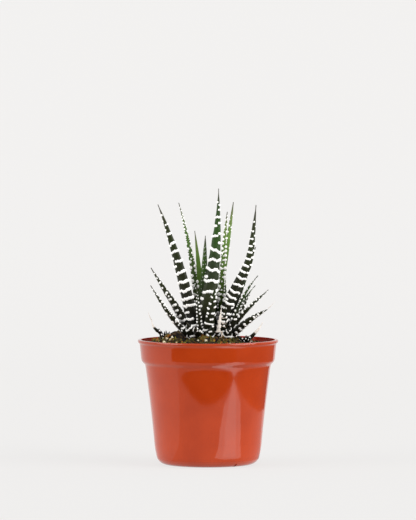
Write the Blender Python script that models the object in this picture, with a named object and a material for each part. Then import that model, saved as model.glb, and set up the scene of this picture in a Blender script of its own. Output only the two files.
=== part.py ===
"""A haworthia in a 9 cm nursery pot: two rosettes of pointed, white-banded leaves and two small offsets.

Every shape is worked out in millimetres and written to its mesh in metres. The origin is the centre of
the pot's underside, +Z is up, and the front of the plant faces -Y.
"""

import math
from typing import NamedTuple

import bmesh
import bpy
import numpy as np

MM = 0.001
GAP = 0.3  # clearance between a piece and the piece that carries it

# Pot: a thin injection-moulded shell with a collar, a small lip and a recessed foot.
POT_HEIGHT = 80.0
RIM_RADIUS = 45.0
LIP_HEIGHT = 1.5
WALL = 1.2
COLLAR_TOP_RADIUS = 43.9
COLLAR_LOW_RADIUS = 42.75
COLLAR_DEPTH = 13.0
SHOULDER_DROP = 3.6
BODY_TOP_RADIUS = 40.2
BODY_HOLLOW = 0.4  # how far the body's side curves in from a straight taper
FOOT_CORNER = 6.4
FOOT_RADIUS = 27.4
FOOT_RING = 5.4
FOOT_RECESS = 2.0
POT_SIDES = 44

DRAIN_HOLES = 6
DRAIN_RADIUS = 3.0
DRAIN_CIRCLE = 13.0
SLOTS = 3
SLOT_WIDTH = 1.2
SLOT_HEIGHT = 2.1
SLOT_START = -55.0  # degrees from +X

# Potting mix: low at the wall and heaped a little left of the middle.
SOIL_EDGE = 76.6
SOIL_HEAP = 6.0
SOIL_HEAP_SPREAD = 22.0
SOIL_HEAP_X = -6.0
SOIL_LUMP = 0.4
SOIL_SIDES = 40
SOIL_RINGS = 8

# A chip of bark that lies on the mix, as relief of the mix.
BARK_CENTRE = (-20.5, -14.2, 83.0)
BARK_SIZE = (4.9, 4.2, 4.6)

# Leaves: what is common to all of them.
EDGE_THICKNESS = 0.35
BACK_SHARE = 0.38  # bulge of the banded back as a share of the width
TIP_WIDTH = 0.9
TAPER_FROM = 0.34  # share of the length at which the width starts to fall
TAPER_POWER = 1.2
TAPER_ROUND = 4.0
BAND_RISE = 0.55
BAND_HALF = 0.85
BEAD_SHARE = 0.7  # rise of a row of beads as a share of a band's
FIRST_BAND = 7.0
LAST_BAND_WIDTH = 2.3  # bands stop where the leaf is narrower than this
BAND_SPACINGS = ((60.0, 6.3), (28.0, 5.4), (0.0, 2.6))  # (leaves longer than, distance between bands)
SHORT_LEAF = 18.0  # a shorter leaf has small bands that start nearer its root
SHORT_BAND = (3.0, 0.6, 0.3)  # first place, half width and rise
DRY_THICKNESS = 0.45  # share of a living leaf's thickness
ROOT_POINT = 0.4  # how far the closed root reaches past the first ring
SMOOTH_SHARES = (0.0, 0.18, 0.36, 0.54, 0.7, 0.84, 0.94)  # where a leaf with no bands has its rings


class Leaf(NamedTuple):
    """One leaf. face is the compass angle of its banded back, and heading the one it leans towards.

    lean holds its angles from upright, at evenly spaced places from root to tip.
    """

    root: tuple
    face: float
    heading: float
    lean: tuple
    length: float
    width: float
    kind: str = "banded"


class Rosette(NamedTuple):
    """A head of leaves on a short stem, which stands in a hole in the mix with a wider dish above it."""

    centre: tuple
    radius: float
    foot: float
    crown: float
    dish_radius: float
    dish_floor: float
    leaves: tuple


LEFT = Rosette(
    centre=(-5.6, -3.6),
    radius=7.0,
    foot=66.0,
    crown=86.0,
    dish_radius=12.8,
    dish_floor=76.5,
    leaves=(
        # The tall upright leaf, the far left one, and the two that spread left.
        Leaf((-4.0, -7.0, 82), 277, 355, (12, 9, 5, 0), 96, 10.8),
        Leaf((-9.0, -5.8, 82), 228, 200, (4, 13, 17, 20, 24), 89, 9.6),
        Leaf((-8.4, -4.6, 84), 205, 184, (32, 35, 32), 51, 7.6),
        Leaf((-10.0, -4.8, 81), 205, 197, (47, 43, 38, 35, 32), 44.5, 6.6),
        # Front: a narrow beaded leaf, two that come forward, and the shaded bases.
        Leaf((-4.2, -8.8, 82), 262, 250, (18, 12), 34, 4.8, "beaded"),
        Leaf((-3.0, -8.6, 82), 285, 298, (20, 34), 38, 8.4, "beaded"),
        Leaf((-5.6, -8.2, 83.5), 262, 262, (70, 78), 21, 6.4, "beaded"),
        Leaf((-10.6, -6.6, 80.5), 216, 212, (42, 34), 13, 8.4),
        Leaf((-8.6, -8.4, 80.5), 242, 240, (34, 46), 15, 8.8),
        Leaf((-1.2, -8.8, 80.5), 296, 300, (46, 40), 14, 8.0, "beaded"),
        # Young leaves in the middle, seen from their green inner side.
        Leaf((-5.6, -3.2, 83), 270, 0, (6, 1), 64, 4.8, "beaded"),
        Leaf((-5.4, 0.6, 82), 112, 170, (2, 16), 87, 4.8, "beaded"),
        Leaf((-4.1, 1.2, 82), 84, 180, (0, 6), 68, 5.0, "smooth"),
        Leaf((-2.5, -0.3, 83), 50, 60, (6, 8), 44, 5.4, "beaded"),
        # Back.
        Leaf((-7.3, 0.6, 82), 110, 110, (45, 32), 45, 7.5),
        Leaf((-9.6, -0.9, 83), 150, 150, (38, 34), 43, 6.0),
        Leaf((-9.4, -1.6, 81), 165, 165, (50, 34), 29, 5.6),
        Leaf((-4.6, 1.0, 82), 85, 85, (42, 28), 43, 7.4),
        Leaf((-10.4, 0.2, 80.5), 160, 160, (44, 38), 12, 8.0),
        Leaf((-6.4, 2.6, 80.5), 100, 100, (44, 38), 16, 8.0),
    ),
)

RIGHT = Rosette(
    centre=(9.6, 3.2),
    radius=7.0,
    foot=66.0,
    crown=86.0,
    dish_radius=12.8,
    dish_floor=76.5,
    leaves=(
        # The far right leaf with its neighbour, and the four that spread right.
        Leaf((9.3, -2.2, 82), 302, 345, (8, 12, 26, 27, 9, 7, 5), 89, 8.2),
        Leaf((10.0, 1.0, 82), 20, 8, (19, 22, 16), 61, 5.0),
        Leaf((11.5, 0.0, 83), 348, 350, (20, 26, 42), 44, 5.8),
        Leaf((11.5, 5.0, 83), 35, 28, (26, 30, 38, 46), 38, 4.4),
        Leaf((12.0, 1.0, 82), 345, 350, (20, 38, 45, 50, 48), 41, 6.2),
        Leaf((12.6, -1.8, 81.2), 325, 338, (44, 56, 66), 33.5, 6.6),
        # Front: leaves that come forward, a withered one, and the shaded bases.
        Leaf((8.6, -2.6, 82), 275, 280, (28, 44), 25, 7.2, "beaded"),
        Leaf((12.2, -1.8, 82), 305, 310, (30, 40), 21, 6.0, "beaded"),
        Leaf((7.8, -2.6, 82), 270, 290, (18, 14), 21, 3.4, "dry"),
        Leaf((6.4, -1.8, 80.5), 258, 262, (42, 46), 12, 7.6, "beaded"),
        Leaf((10.6, -2.6, 80.5), 290, 290, (50, 56), 14, 8.0),
        Leaf((14.2, -0.6, 80.5), 320, 325, (30, 36), 8.5, 7.0),
        # Young leaves in the middle, seen from their green inner side.
        Leaf((8.2, 3.9, 83), 110, 20, (0, 6), 79, 5.2, "beaded"),
        Leaf((6.4, 6.9, 82), 125, 5, (6, 8), 86, 5.6, "beaded"),
        Leaf((10.0, 6.0, 83), 60, 80, (5, 8), 44, 5.2, "beaded"),
        # Back.
        Leaf((10.8, 6.6, 82), 72, 72, (42, 32), 41, 7.6),
        Leaf((8.6, 7.2, 82), 100, 100, (45, 34), 45, 7.2),
        Leaf((12.8, 6.3, 82), 48, 46, (36, 40), 33, 5.6),
        Leaf((13.4, 5.3, 81), 20, 20, (50, 59), 25, 6.0),
        Leaf((8.4, 8.6, 80.5), 105, 105, (50, 42), 16, 8.0),
        Leaf((13.2, 7.6, 80.5), 55, 52, (50, 46), 10, 7.6),
    ),
)

OFFSET_LEFT = Rosette(
    centre=(-27.0, -4.5),
    radius=2.4,
    foot=73.0,
    crown=83.0,
    dish_radius=4.4,
    dish_floor=78.2,
    leaves=(
        Leaf((-27.6, -4.7, 81), 215, 200, (30, 50, 38), 14.5, 3.6, "beaded"),
        Leaf((-26.4, -4.8, 81), 310, 335, (20, 14), 8.5, 3.2, "beaded"),
        Leaf((-27.0, -5.3, 81), 268, 262, (52, 46), 7.5, 3.2, "beaded"),
        Leaf((-26.6, -3.7, 81), 60, 60, (38, 30), 8.0, 3.0, "beaded"),
        Leaf((-27.6, -3.7, 81), 140, 140, (44, 34), 8.0, 3.0, "beaded"),
    ),
)

OFFSET_RIGHT = Rosette(
    centre=(23.4, -9.0),
    radius=2.4,
    foot=72.0,
    crown=81.4,
    dish_radius=4.4,
    dish_floor=76.6,
    leaves=(
        Leaf((24.0, -9.2, 79.6), 335, 352, (50, 46, 26), 16.5, 3.6, "beaded"),
        Leaf((23.0, -9.6, 79.6), 240, 225, (58, 50), 5.5, 2.9, "beaded"),
        Leaf((23.8, -9.8, 79.6), 290, 290, (58, 50), 6.5, 3.0, "beaded"),
        Leaf((23.6, -8.2, 79.6), 75, 75, (48, 40), 5.0, 2.9, "beaded"),
        Leaf((22.8, -8.4, 79.6), 150, 165, (58, 50), 5.0, 2.9, "beaded"),
    ),
)

ROSETTES = {
    "rosette_left": LEFT,
    "rosette_right": RIGHT,
    "offset_left": OFFSET_LEFT,
    "offset_right": OFFSET_RIGHT,
}


def clear_scene():
    for obj in list(bpy.data.objects):
        bpy.data.objects.remove(obj, do_unlink=True)


def principled(name, colour, roughness):
    """A material with one Principled BSDF; colour is linear RGB."""
    material = bpy.data.materials.new(name)
    material.use_nodes = True
    shader = material.node_tree.nodes["Principled BSDF"]
    shader.inputs["Base Color"].default_value = (*colour, 1.0)
    shader.inputs["Roughness"].default_value = roughness
    shader.inputs["Metallic"].default_value = 0.0
    return material


def new_object(name, mesh, material=None):
    obj = bpy.data.objects.new(name, mesh)
    bpy.context.scene.collection.objects.link(obj)
    if material:
        mesh.materials.append(material)
    return obj


def mesh_from(name, points, faces):
    """A mesh from points in millimetres, cut into triangles, with its faces turned outwards."""
    bm = bmesh.new()
    corners = [bm.verts.new([c * MM for c in point]) for point in points]
    for face in faces:
        bm.faces.new([corners[i] for i in face])
    bmesh.ops.triangulate(bm, faces=bm.faces[:])
    bmesh.ops.recalc_face_normals(bm, faces=bm.faces[:])
    mesh = bpy.data.meshes.new(name)
    bm.to_mesh(mesh)
    bm.free()
    return mesh


def tube_faces(rings, sides):
    """Faces of a closed body whose points are rings of one size, with a fan point before and after them."""
    first, last = 0, 1 + rings * sides
    faces = []
    for k in range(sides):
        after = (k + 1) % sides
        faces.append((first, 1 + after, 1 + k))
        for ring in range(rings - 1):
            low, high = 1 + ring * sides, 1 + (ring + 1) * sides
            faces.append((low + k, low + after, high + after))
            faces.append((low + k, high + after, high + k))
        end = 1 + (rings - 1) * sides
        faces.append((end + k, end + after, last))
    return faces


def apply_modifiers(obj):
    """Put the evaluated mesh in place of the base mesh and its modifiers."""
    graph = bpy.context.evaluated_depsgraph_get()
    graph.update()
    mesh = bpy.data.meshes.new_from_object(obj.evaluated_get(graph), depsgraph=graph)
    obj.modifiers.clear()
    obj.data = mesh


def boolean_with(obj, others, operation):
    """One exact Boolean of obj with a collection of others, applied; the others are then removed."""
    group = bpy.data.collections.new(obj.name + "_operands")
    bpy.context.scene.collection.children.link(group)
    for other in others:
        for holder in list(other.users_collection):
            holder.objects.unlink(other)
        group.objects.link(other)
    modifier = obj.modifiers.new("Boolean", "BOOLEAN")
    modifier.operation = operation
    modifier.solver = "EXACT"
    modifier.operand_type = "COLLECTION"
    modifier.collection = group
    apply_modifiers(obj)
    for other in others:
        bpy.data.objects.remove(other, do_unlink=True)
    bpy.data.collections.remove(group)


def shade_round(obj, sharp_degrees=35.0):
    obj.data.shade_smooth()
    obj.data.set_sharp_from_angle(angle=math.radians(sharp_degrees))


# Pot -----------------------------------------------------------------------------------------------


def arc(centre, radius, start, end, steps):
    """Points of an arc about centre, with angles in degrees, both ends included."""
    angles = np.radians(np.linspace(start, end, steps + 1))
    return [(centre[0] + radius * math.cos(a), centre[1] + radius * math.sin(a)) for a in angles]


def body_side(inset, steps):
    """The body's side from the shoulder to the foot corner: a straight taper that bows in a little."""
    top, low = POT_HEIGHT - COLLAR_DEPTH - SHOULDER_DROP, FOOT_CORNER
    foot = FOOT_RADIUS + FOOT_CORNER
    points = []
    for share in np.linspace(0.0, 1.0, steps + 1):
        straight = BODY_TOP_RADIUS + (foot - BODY_TOP_RADIUS) * share
        radius = straight - BODY_HOLLOW * 4.0 * share * (1.0 - share)
        points.append((radius - inset, top + (low - top) * share))
    return points


def outer_profile():
    """Down the outside: lip, collar, shoulder, body, foot corner, foot ring and the recess under it."""
    top = POT_HEIGHT
    lip_low = top - LIP_HEIGHT
    collar_low = top - COLLAR_DEPTH
    shoulder = [
        (COLLAR_LOW_RADIUS - 0.45, collar_low - 0.28 * SHOULDER_DROP),
        (BODY_TOP_RADIUS + 0.75, collar_low - 0.72 * SHOULDER_DROP),
    ]
    foot_inner = FOOT_RADIUS - FOOT_RING
    return [
        (RIM_RADIUS - 0.45, top),
        (RIM_RADIUS, top - 0.45),
        (RIM_RADIUS, lip_low + 0.35),
        (COLLAR_TOP_RADIUS, lip_low - 0.6),
        (COLLAR_LOW_RADIUS, collar_low),
        *shoulder,
        *body_side(0.0, 3),
        *arc((FOOT_RADIUS, FOOT_CORNER), FOOT_CORNER, 0.0, -90.0, 4)[1:],
        (foot_inner, 0.0),
        (foot_inner - 1.0, FOOT_RECESS),
        (0.0, FOOT_RECESS),
    ]


def inner_profile():
    """Up the inside, one wall thickness in from the outside."""
    floor = FOOT_RECESS + WALL
    foot_inner = FOOT_RADIUS - FOOT_RING
    collar_low = POT_HEIGHT - COLLAR_DEPTH
    return [
        (0.0, floor),
        (foot_inner - 1.0, floor),
        (foot_inner + 0.6, WALL),
        *arc((FOOT_RADIUS, FOOT_CORNER), FOOT_CORNER - WALL, -90.0, 0.0, 2)[:-1],
        *reversed(body_side(WALL, 2)),
        (COLLAR_LOW_RADIUS - WALL, collar_low - 0.2),
        (COLLAR_TOP_RADIUS - WALL, POT_HEIGHT - LIP_HEIGHT),
        (COLLAR_TOP_RADIUS - WALL, POT_HEIGHT),
    ]


def make_pot():
    profile = inner_profile() + outer_profile()
    mesh = bpy.data.meshes.new("pot")
    points = [(radius * MM, 0.0, height * MM) for radius, height in profile]
    mesh.from_pydata(points, [(i, i + 1) for i in range(len(points) - 1)], [])
    material = principled("terracotta_polypropylene", (0.52, 0.09, 0.03), 0.28)
    pot = new_object("pot", mesh, material)
    turn = pot.modifiers.new("Turn", "SCREW")
    turn.steps = turn.render_steps = POT_SIDES
    turn.use_merge_vertices = True
    turn.merge_threshold = 0.00001
    apply_modifiers(pot)
    boolean_with(pot, drain_cutters(), "DIFFERENCE")
    shade_round(pot)
    return pot


def drain_cutters():
    """Round holes through the recessed floor, and narrow slots through the foot's corner."""
    cutters = []
    for k in range(DRAIN_HOLES):
        angle = math.tau * k / DRAIN_HOLES
        bpy.ops.mesh.primitive_cylinder_add(
            vertices=12,
            radius=DRAIN_RADIUS * MM,
            depth=8.0 * MM,
            location=(DRAIN_CIRCLE * math.cos(angle) * MM, DRAIN_CIRCLE * math.sin(angle) * MM, 2.6 * MM),
        )
        cutters.append(bpy.context.object)
    for k in range(SLOTS):
        angle = math.radians(SLOT_START + 360.0 * k / SLOTS)
        middle = FOOT_RADIUS + 2.0
        bpy.ops.mesh.primitive_cube_add(
            size=1.0,
            location=(middle * math.cos(angle) * MM, middle * math.sin(angle) * MM, 0.0),
            rotation=(0.0, 0.0, angle),
        )
        cutter = bpy.context.object
        cutter.scale = (9.0 * MM, SLOT_WIDTH * MM, 2.0 * SLOT_HEIGHT * MM)
        cutters.append(cutter)
    for cutter in cutters:
        cutter.hide_render = True
        cutter.display_type = "WIRE"
    return cutters


# Potting mix ---------------------------------------------------------------------------------------


def soil_height(x, y):
    """Height of the mix: a heap, with crossing waves for its lumps."""
    distance = ((x - SOIL_HEAP_X) ** 2 + y**2) / (2.0 * SOIL_HEAP_SPREAD**2)
    height = SOIL_EDGE + SOIL_HEAP * math.exp(-distance)
    waves = math.sin(0.31 * x + 0.9) * math.cos(0.27 * y) + math.sin(0.19 * x - 0.43 * y + 2.0)
    return height + SOIL_LUMP * (waves + 0.6 * math.sin(0.52 * x + 0.37 * y))


def make_soil():
    """The mix fills the pot to its inner wall, less the gap, under a lumpy top with a hole for each stem."""
    floor = FOOT_RECESS + WALL + GAP
    wall = [(r - GAP, z) for r, z in reversed(body_side(WALL, 2))]
    collar = POT_HEIGHT - COLLAR_DEPTH + 1.0
    wall += [(COLLAR_LOW_RADIUS - WALL - 0.6, collar), (COLLAR_LOW_RADIUS - WALL - GAP, 73.0)]
    bottom = FOOT_RADIUS - 1.0
    angles = [math.tau * k / SOIL_SIDES for k in range(SOIL_SIDES)]
    points = [(0.0, 0.0, floor)]
    for radius, height in [(bottom, floor), *wall]:
        points += [(radius * math.cos(a), radius * math.sin(a), height) for a in angles]
    edge = COLLAR_LOW_RADIUS - WALL - GAP
    for ring in range(SOIL_RINGS):
        radius = edge * (1.0 - ring / SOIL_RINGS)
        places = [(radius * math.cos(a), radius * math.sin(a)) for a in angles]
        points += [(x, y, soil_height(x, y)) for x, y in places]
    points.append((0.0, 0.0, soil_height(0.0, 0.0)))
    mesh = mesh_from("soil", points, tube_faces(1 + len(wall) + SOIL_RINGS, SOIL_SIDES))
    soil = new_object("soil", mesh, principled("peat_potting_mix", (0.07, 0.05, 0.02), 0.95))
    holes = [hole for rosette in ROSETTES.values() for hole in stem_holes(rosette)]
    boolean_with(soil, holes, "DIFFERENCE")
    boolean_with(soil, [make_bark()], "UNION")
    return soil


def make_bark():
    """A rough chip: a ball pushed in and out by crossing waves."""
    bpy.ops.mesh.primitive_ico_sphere_add(subdivisions=2, radius=1.0)
    bark = bpy.context.object
    for vertex in bark.data.vertices:
        x, y, z = vertex.co
        rough = 1.0 + 0.13 * math.sin(5.0 * x + 1.0) * math.cos(4.0 * y) + 0.1 * math.sin(6.0 * z + 3.0 * x)
        place = (x * rough, y * rough, z * rough)
        vertex.co = [(c + p * s) * MM for c, p, s in zip(BARK_CENTRE, place, BARK_SIZE)]
    return bark


def stem_holes(rosette):
    """A plain round hole, one gap wider and deeper than the stem that stands in it, and the dish above it."""
    top = rosette.crown + 20.0
    holes = []
    for radius, bottom in (
        (rosette.radius + GAP, rosette.foot - GAP),
        (rosette.dish_radius, rosette.dish_floor),
    ):
        bpy.ops.mesh.primitive_cylinder_add(
            vertices=24,
            radius=radius * MM,
            depth=(top - bottom) * MM,
            location=(rosette.centre[0] * MM, rosette.centre[1] * MM, (bottom + top) / 2.0 * MM),
        )
        hole = bpy.context.object
        hole.hide_render = True
        hole.display_type = "WIRE"
        holes.append(hole)
    return holes


# Leaves --------------------------------------------------------------------------------------------


def leaf_width(leaf, share):
    """Full width to TAPER_FROM, then a long taper to the tip, rounded where the two meet."""
    left = max(1.0 - share, 0.0) / (1.0 - TAPER_FROM)
    fall = left**TAPER_POWER
    rounded = fall / (1.0 + fall**TAPER_ROUND) ** (1.0 / TAPER_ROUND)
    full = (1.0 + (1.0 / (1.0 - TAPER_FROM)) ** (TAPER_POWER * TAPER_ROUND)) ** (1.0 / TAPER_ROUND)
    full /= (1.0 / (1.0 - TAPER_FROM)) ** TAPER_POWER
    return max(leaf.width * rounded * full, TIP_WIDTH)


def leaf_path(leaf, steps=120):
    """Shares of the length, points and directions along the leaf's middle, by adding up short steps."""
    shares = np.linspace(0.0, 1.0, steps + 1)
    lean = np.radians(np.interp(shares, np.linspace(0.0, 1.0, len(leaf.lean)), leaf.lean))
    heading = math.radians(leaf.heading)
    along = np.stack([np.sin(lean) * math.cos(heading), np.sin(lean) * math.sin(heading), np.cos(lean)], 1)
    step = leaf.length / steps
    moved = np.cumsum((along[1:] + along[:-1]) / 2.0 * step, axis=0)
    points = np.array(leaf.root) + np.vstack([np.zeros(3), moved])
    return shares, points, along


def leaf_stations(leaf):
    """Distances from the root at which a ring of points is set, each with how far a band lifts it there."""
    if leaf.kind in ("smooth", "dry"):
        return [(share * leaf.length, 0.0) for share in SMOOTH_SHARES]
    spacing = next(gap for longer_than, gap in BAND_SPACINGS if leaf.length > longer_than)
    rise = BAND_RISE if leaf.kind == "banded" else BEAD_SHARE * BAND_RISE
    middle, half = FIRST_BAND, BAND_HALF
    if leaf.length < SHORT_LEAF:
        middle, half, rise = SHORT_BAND
    stations = [(0.0, 0.0)]
    while leaf_width(leaf, middle / leaf.length) > LAST_BAND_WIDTH:
        stations += [(middle - half, 0.0), (middle, rise), (middle + half, 0.0)]
        middle += spacing
    if stations[-1][0] < 0.8 * leaf.length:
        stations.append((0.5 * (stations[-1][0] + leaf.length), 0.0))
    stations.append((0.97 * leaf.length, 0.0))
    return stations


def make_leaf(name, leaf):
    """A tapering body with rings of five points: two edges, two on the bulging back, one on the flat face."""
    shares, middles, alongs = leaf_path(leaf)
    facing = np.array([math.cos(math.radians(leaf.face)), math.sin(math.radians(leaf.face)), 0.0])
    thin = DRY_THICKNESS if leaf.kind == "dry" else 1.0
    points = [middles[0] - alongs[0] * ROOT_POINT]
    stations = leaf_stations(leaf)
    for distance, rise in stations:
        share = distance / leaf.length
        middle = np.array([np.interp(share, shares, middles[:, k]) for k in range(3)])
        along = np.array([np.interp(share, shares, alongs[:, k]) for k in range(3)])
        along /= np.linalg.norm(along)
        back = facing - along * facing.dot(along)
        back /= np.linalg.norm(back)
        side = np.cross(back, along)
        half = leaf_width(leaf, share) / 2.0
        bulge = thin * (2.0 * half * BACK_SHARE + 0.25) + rise
        flat = -thin * (0.1 * half + EDGE_THICKNESS)
        points += [
            middle + side * (half + 0.5 * rise),
            middle + side * 0.5 * (half + rise) + back * bulge,
            middle - side * 0.5 * (half + rise) + back * bulge,
            middle - side * (half + 0.5 * rise),
            middle + back * flat,
        ]
    points.append(middles[-1])
    return new_object(name, mesh_from(name, points, tube_faces(len(stations), 5)))


def make_stem(name, rosette, material):
    """A round stem with a domed crown, which every leaf of the rosette is sunk into."""
    foot, crown, radius = rosette.foot, rosette.crown, rosette.radius
    dome = 0.55 * radius
    profile = [(radius, foot), (radius, crown - dome)]
    profile += [(radius * math.cos(a), crown - dome + dome * math.sin(a)) for a in (0.5, 1.0)]
    sides = 20 if radius > 4 else 12
    points = [(*rosette.centre, foot)]
    for ring_radius, height in profile:
        for k in range(sides):
            angle = math.tau * (k + 0.37) / sides
            x = rosette.centre[0] + ring_radius * math.cos(angle)
            points.append((x, rosette.centre[1] + ring_radius * math.sin(angle), height))
    points.append((*rosette.centre, crown))
    return new_object(name, mesh_from(name, points, tube_faces(len(profile), sides)), material)


def make_rosette(name, rosette, material):
    stem = make_stem(name, rosette, material)
    leaves = [make_leaf(f"{name}_leaf_{k:02d}", leaf) for k, leaf in enumerate(rosette.leaves)]
    boolean_with(stem, leaves, "UNION")
    return stem


def main():
    clear_scene()
    make_pot()
    make_soil()
    leaf_skin = principled("haworthia_leaf", (0.045, 0.09, 0.025), 0.45)
    for name, rosette in ROSETTES.items():
        make_rosette(name, rosette, leaf_skin)


main()
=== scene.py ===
# %% [markdown]
# # A potted haworthia
# This lesson dresses a small banded succulent in a nursery pot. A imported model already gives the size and
# place of the pot, the potting mix and four heads of leaves. Here each of them gets a finer skin, worked
# out with numpy, and a material made of nodes. The plant's sizes are in millimetres, and those of the table
# and the cards round it are in metres, as Blender's own are.

import math
from typing import NamedTuple

import bpy
import numpy as np
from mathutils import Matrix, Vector


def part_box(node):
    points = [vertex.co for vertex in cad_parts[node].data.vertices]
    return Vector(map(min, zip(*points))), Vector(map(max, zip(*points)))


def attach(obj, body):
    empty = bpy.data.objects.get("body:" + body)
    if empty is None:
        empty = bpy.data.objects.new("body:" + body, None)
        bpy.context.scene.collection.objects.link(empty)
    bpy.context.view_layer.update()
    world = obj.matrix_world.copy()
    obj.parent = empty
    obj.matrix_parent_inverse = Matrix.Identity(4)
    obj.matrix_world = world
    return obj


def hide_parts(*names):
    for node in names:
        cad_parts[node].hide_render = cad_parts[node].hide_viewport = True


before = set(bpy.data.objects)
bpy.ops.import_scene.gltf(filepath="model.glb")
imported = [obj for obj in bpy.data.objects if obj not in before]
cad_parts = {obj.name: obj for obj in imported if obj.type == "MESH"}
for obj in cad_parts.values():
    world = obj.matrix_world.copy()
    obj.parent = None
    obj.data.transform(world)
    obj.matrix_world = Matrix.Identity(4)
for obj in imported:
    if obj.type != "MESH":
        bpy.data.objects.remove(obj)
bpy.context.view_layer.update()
MM = 0.001  # one millimetre in metres
pot_low, pot_high = (np.round(np.array(corner) / MM, 2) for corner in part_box("pot"))
print("nodes:", ", ".join(sorted(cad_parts)))
print("pot from", pot_low, "to", pot_high, "mm")

# %% [markdown]
# ## Small helpers
# A colour is written as it looks on a screen, and the shader wants it linear. A material is a handful of
# nodes, so one function adds a node with its settings and its links. A piece is a mesh made from arrays of
# points and faces, with a few numbers stored on its points for the material to read.

# %% Colours, nodes and pieces


def linear(hex_colour):
    """An sRGB hex colour as linear RGBA: c / 12.92 up to 0.04045, else ((c + 0.055) / 1.055) ** 2.4."""
    srgb = np.array([int(hex_colour[i : i + 2], 16) for i in (1, 3, 5)]) / 255
    rgb = np.where(srgb <= 0.04045, srgb / 12.92, ((srgb + 0.055) / 1.055) ** 2.4)
    return (*rgb.tolist(), 1.0)


def add_node(tree, kind, settings=None, links=None):
    """A shader node with its settings (properties, or inputs by name or number) and links to its inputs."""
    node = tree.nodes.new("ShaderNode" + kind)
    for key, value in (settings or {}).items():
        if isinstance(key, int) or key in node.inputs:
            node.inputs[key].default_value = value
        else:
            setattr(node, key, value)
    for key, source in (links or {}).items():
        tree.links.new(source, node.inputs[key])
    return node


def set_stops(ramp, stops):
    """Gives a Color Ramp node its stops, {place from 0 to 1: hex colour}."""
    elements = ramp.color_ramp.elements
    while len(elements) < len(stops):
        elements.new(0.5)
    for element, (place, colour) in zip(elements, sorted(stops.items())):
        element.position = place
        element.color = linear(colour)
    return ramp


def new_material(name, roughness, ior=1.45):
    """A material with one Principled shader. Returns the material, its node tree and the shader."""
    material = bpy.data.materials.new(name)
    material.use_nodes = True
    shader = material.node_tree.nodes["Principled BSDF"]
    shader.inputs["Roughness"].default_value = roughness
    shader.inputs["IOR"].default_value = ior
    return material, material.node_tree, shader


def store(mesh, values):
    """Keeps named numbers, one for each point, where a material can read them."""
    for key, numbers in values.items():
        stored = mesh.attributes.new(key, "FLOAT", "POINT")
        stored.data.foreach_set("value", np.asarray(numbers, np.float32).ravel())


def add_mesh(name, points, faces, material):
    """A smooth mesh in the scene, from points in metres and faces that count them."""
    mesh = bpy.data.meshes.new(name)
    mesh.from_pydata(points, [], faces)
    mesh.materials.append(material)
    mesh.shade_smooth()
    piece = bpy.data.objects.new(name, mesh)
    bpy.context.scene.collection.objects.link(piece)
    return piece


def make_piece(name, shape, material, node):
    """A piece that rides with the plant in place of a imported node. Its shape is points in millimetres, faces,
    and numbers by name, one for each point."""
    points, faces, values = shape
    piece = add_mesh(name, (np.asarray(points) * MM).tolist(), faces, material)
    store(piece.data, values)
    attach(piece, "root")
    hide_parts(node)
    return piece


print("a grey of #808080 is", round(linear("#808080")[0], 3), "of white in linear light")

# %% [markdown]
# Nearly every shape here is a stack of rings of points with one point before and one after them: the
# turned pot, a leaf, a pebble, a thread. One function makes the faces of all of them, so that the others
# only have to work out points.

# %% Rings, balls, lumps and tubes


def skin_faces(rings, sides):
    """Quads between rings of points, then a fan of triangles onto one point before and one after them."""
    ring, side = np.meshgrid(np.arange(rings - 1), np.arange(sides), indexing="ij")
    here, beside = ring * sides + side, ring * sides + (side + 1) % sides
    quads = np.stack([here, beside, beside + sides, here + sides], -1).reshape(-1, 4)
    side = np.arange(sides)
    after = (side + 1) % sides
    last = (rings - 1) * sides
    low = np.stack([np.full(sides, rings * sides), after, side], -1)
    high = np.stack([last + side, last + after, np.full(sides, rings * sides + 1)], -1)
    return quads.tolist() + low.tolist() + high.tolist()


def join(parts):
    """Several (points, faces, values) as one, with the faces renumbered."""
    offsets = np.cumsum([0] + [len(points) for points, _, _ in parts[:-1]])
    faces = [[i + int(offset) for i in face] for (_, some, _), offset in zip(parts, offsets) for face in some]
    values = {key: np.concatenate([part[2][key] for part in parts]) for key in parts[0][2]}
    return np.concatenate([points for points, _, _ in parts]), faces, values


def ripples(points, size, seed, count=9):
    """A soft random field of about unit height: count sine waves in random directions, about size long."""
    rng = np.random.default_rng(seed)
    directions = rng.normal(size=(count, points.shape[-1]))
    directions /= np.linalg.norm(directions, axis=1, keepdims=True)
    turns = directions * (math.tau / (size * rng.uniform(0.7, 1.5, (count, 1))))
    return np.sin(points @ turns.T + rng.uniform(0, math.tau, count)).sum(-1) / math.sqrt(count / 2)


def ball(rings, sides):
    """A unit ball: rings of points, then its lowest and its highest point."""
    height = np.linspace(0.0, math.pi, rings + 2)[1:-1, None]
    turn = np.arange(sides) * math.tau / sides
    x, y, z = np.sin(height) * np.cos(turn), np.sin(height) * np.sin(turn), 0 * turn - np.cos(height)
    return np.concatenate([np.stack([x, y, z], -1).reshape(-1, 3), [(0.0, 0.0, -1.0), (0.0, 0.0, 1.0)]])


def lump(centre, radii, seed, rough, rings, sides):
    """A closed uneven pebble: a ball stretched to these radii, with its distance from the centre varied."""
    skin = ball(rings, sides)
    return np.asarray(centre) + skin * radii * (1.0 + rough * ripples(skin, 1.3, seed))[:, None]


def tube(path, radii, sides):
    """A round tube along a path of points, with a radius for each, closed by a point at both ends."""
    along = np.gradient(path, axis=0)
    along /= np.linalg.norm(along, axis=1, keepdims=True)
    out = np.cross(along, (0.31, 0.83, 0.46))
    out /= np.linalg.norm(out, axis=1, keepdims=True)
    across = np.cross(along, out)
    turn = np.arange(sides)[:, None] * math.tau / sides
    ring = out[:, None] * np.cos(turn) + across[:, None] * np.sin(turn)
    skin = path[:, None] + ring * np.asarray(radii)[:, None, None]
    return np.concatenate([skin.reshape(-1, 3), path[[0, -1]]])


print("a ball of 3 rings of 6:", len(ball(3, 6)), "points and", len(skin_faces(3, 6)), "faces")

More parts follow.
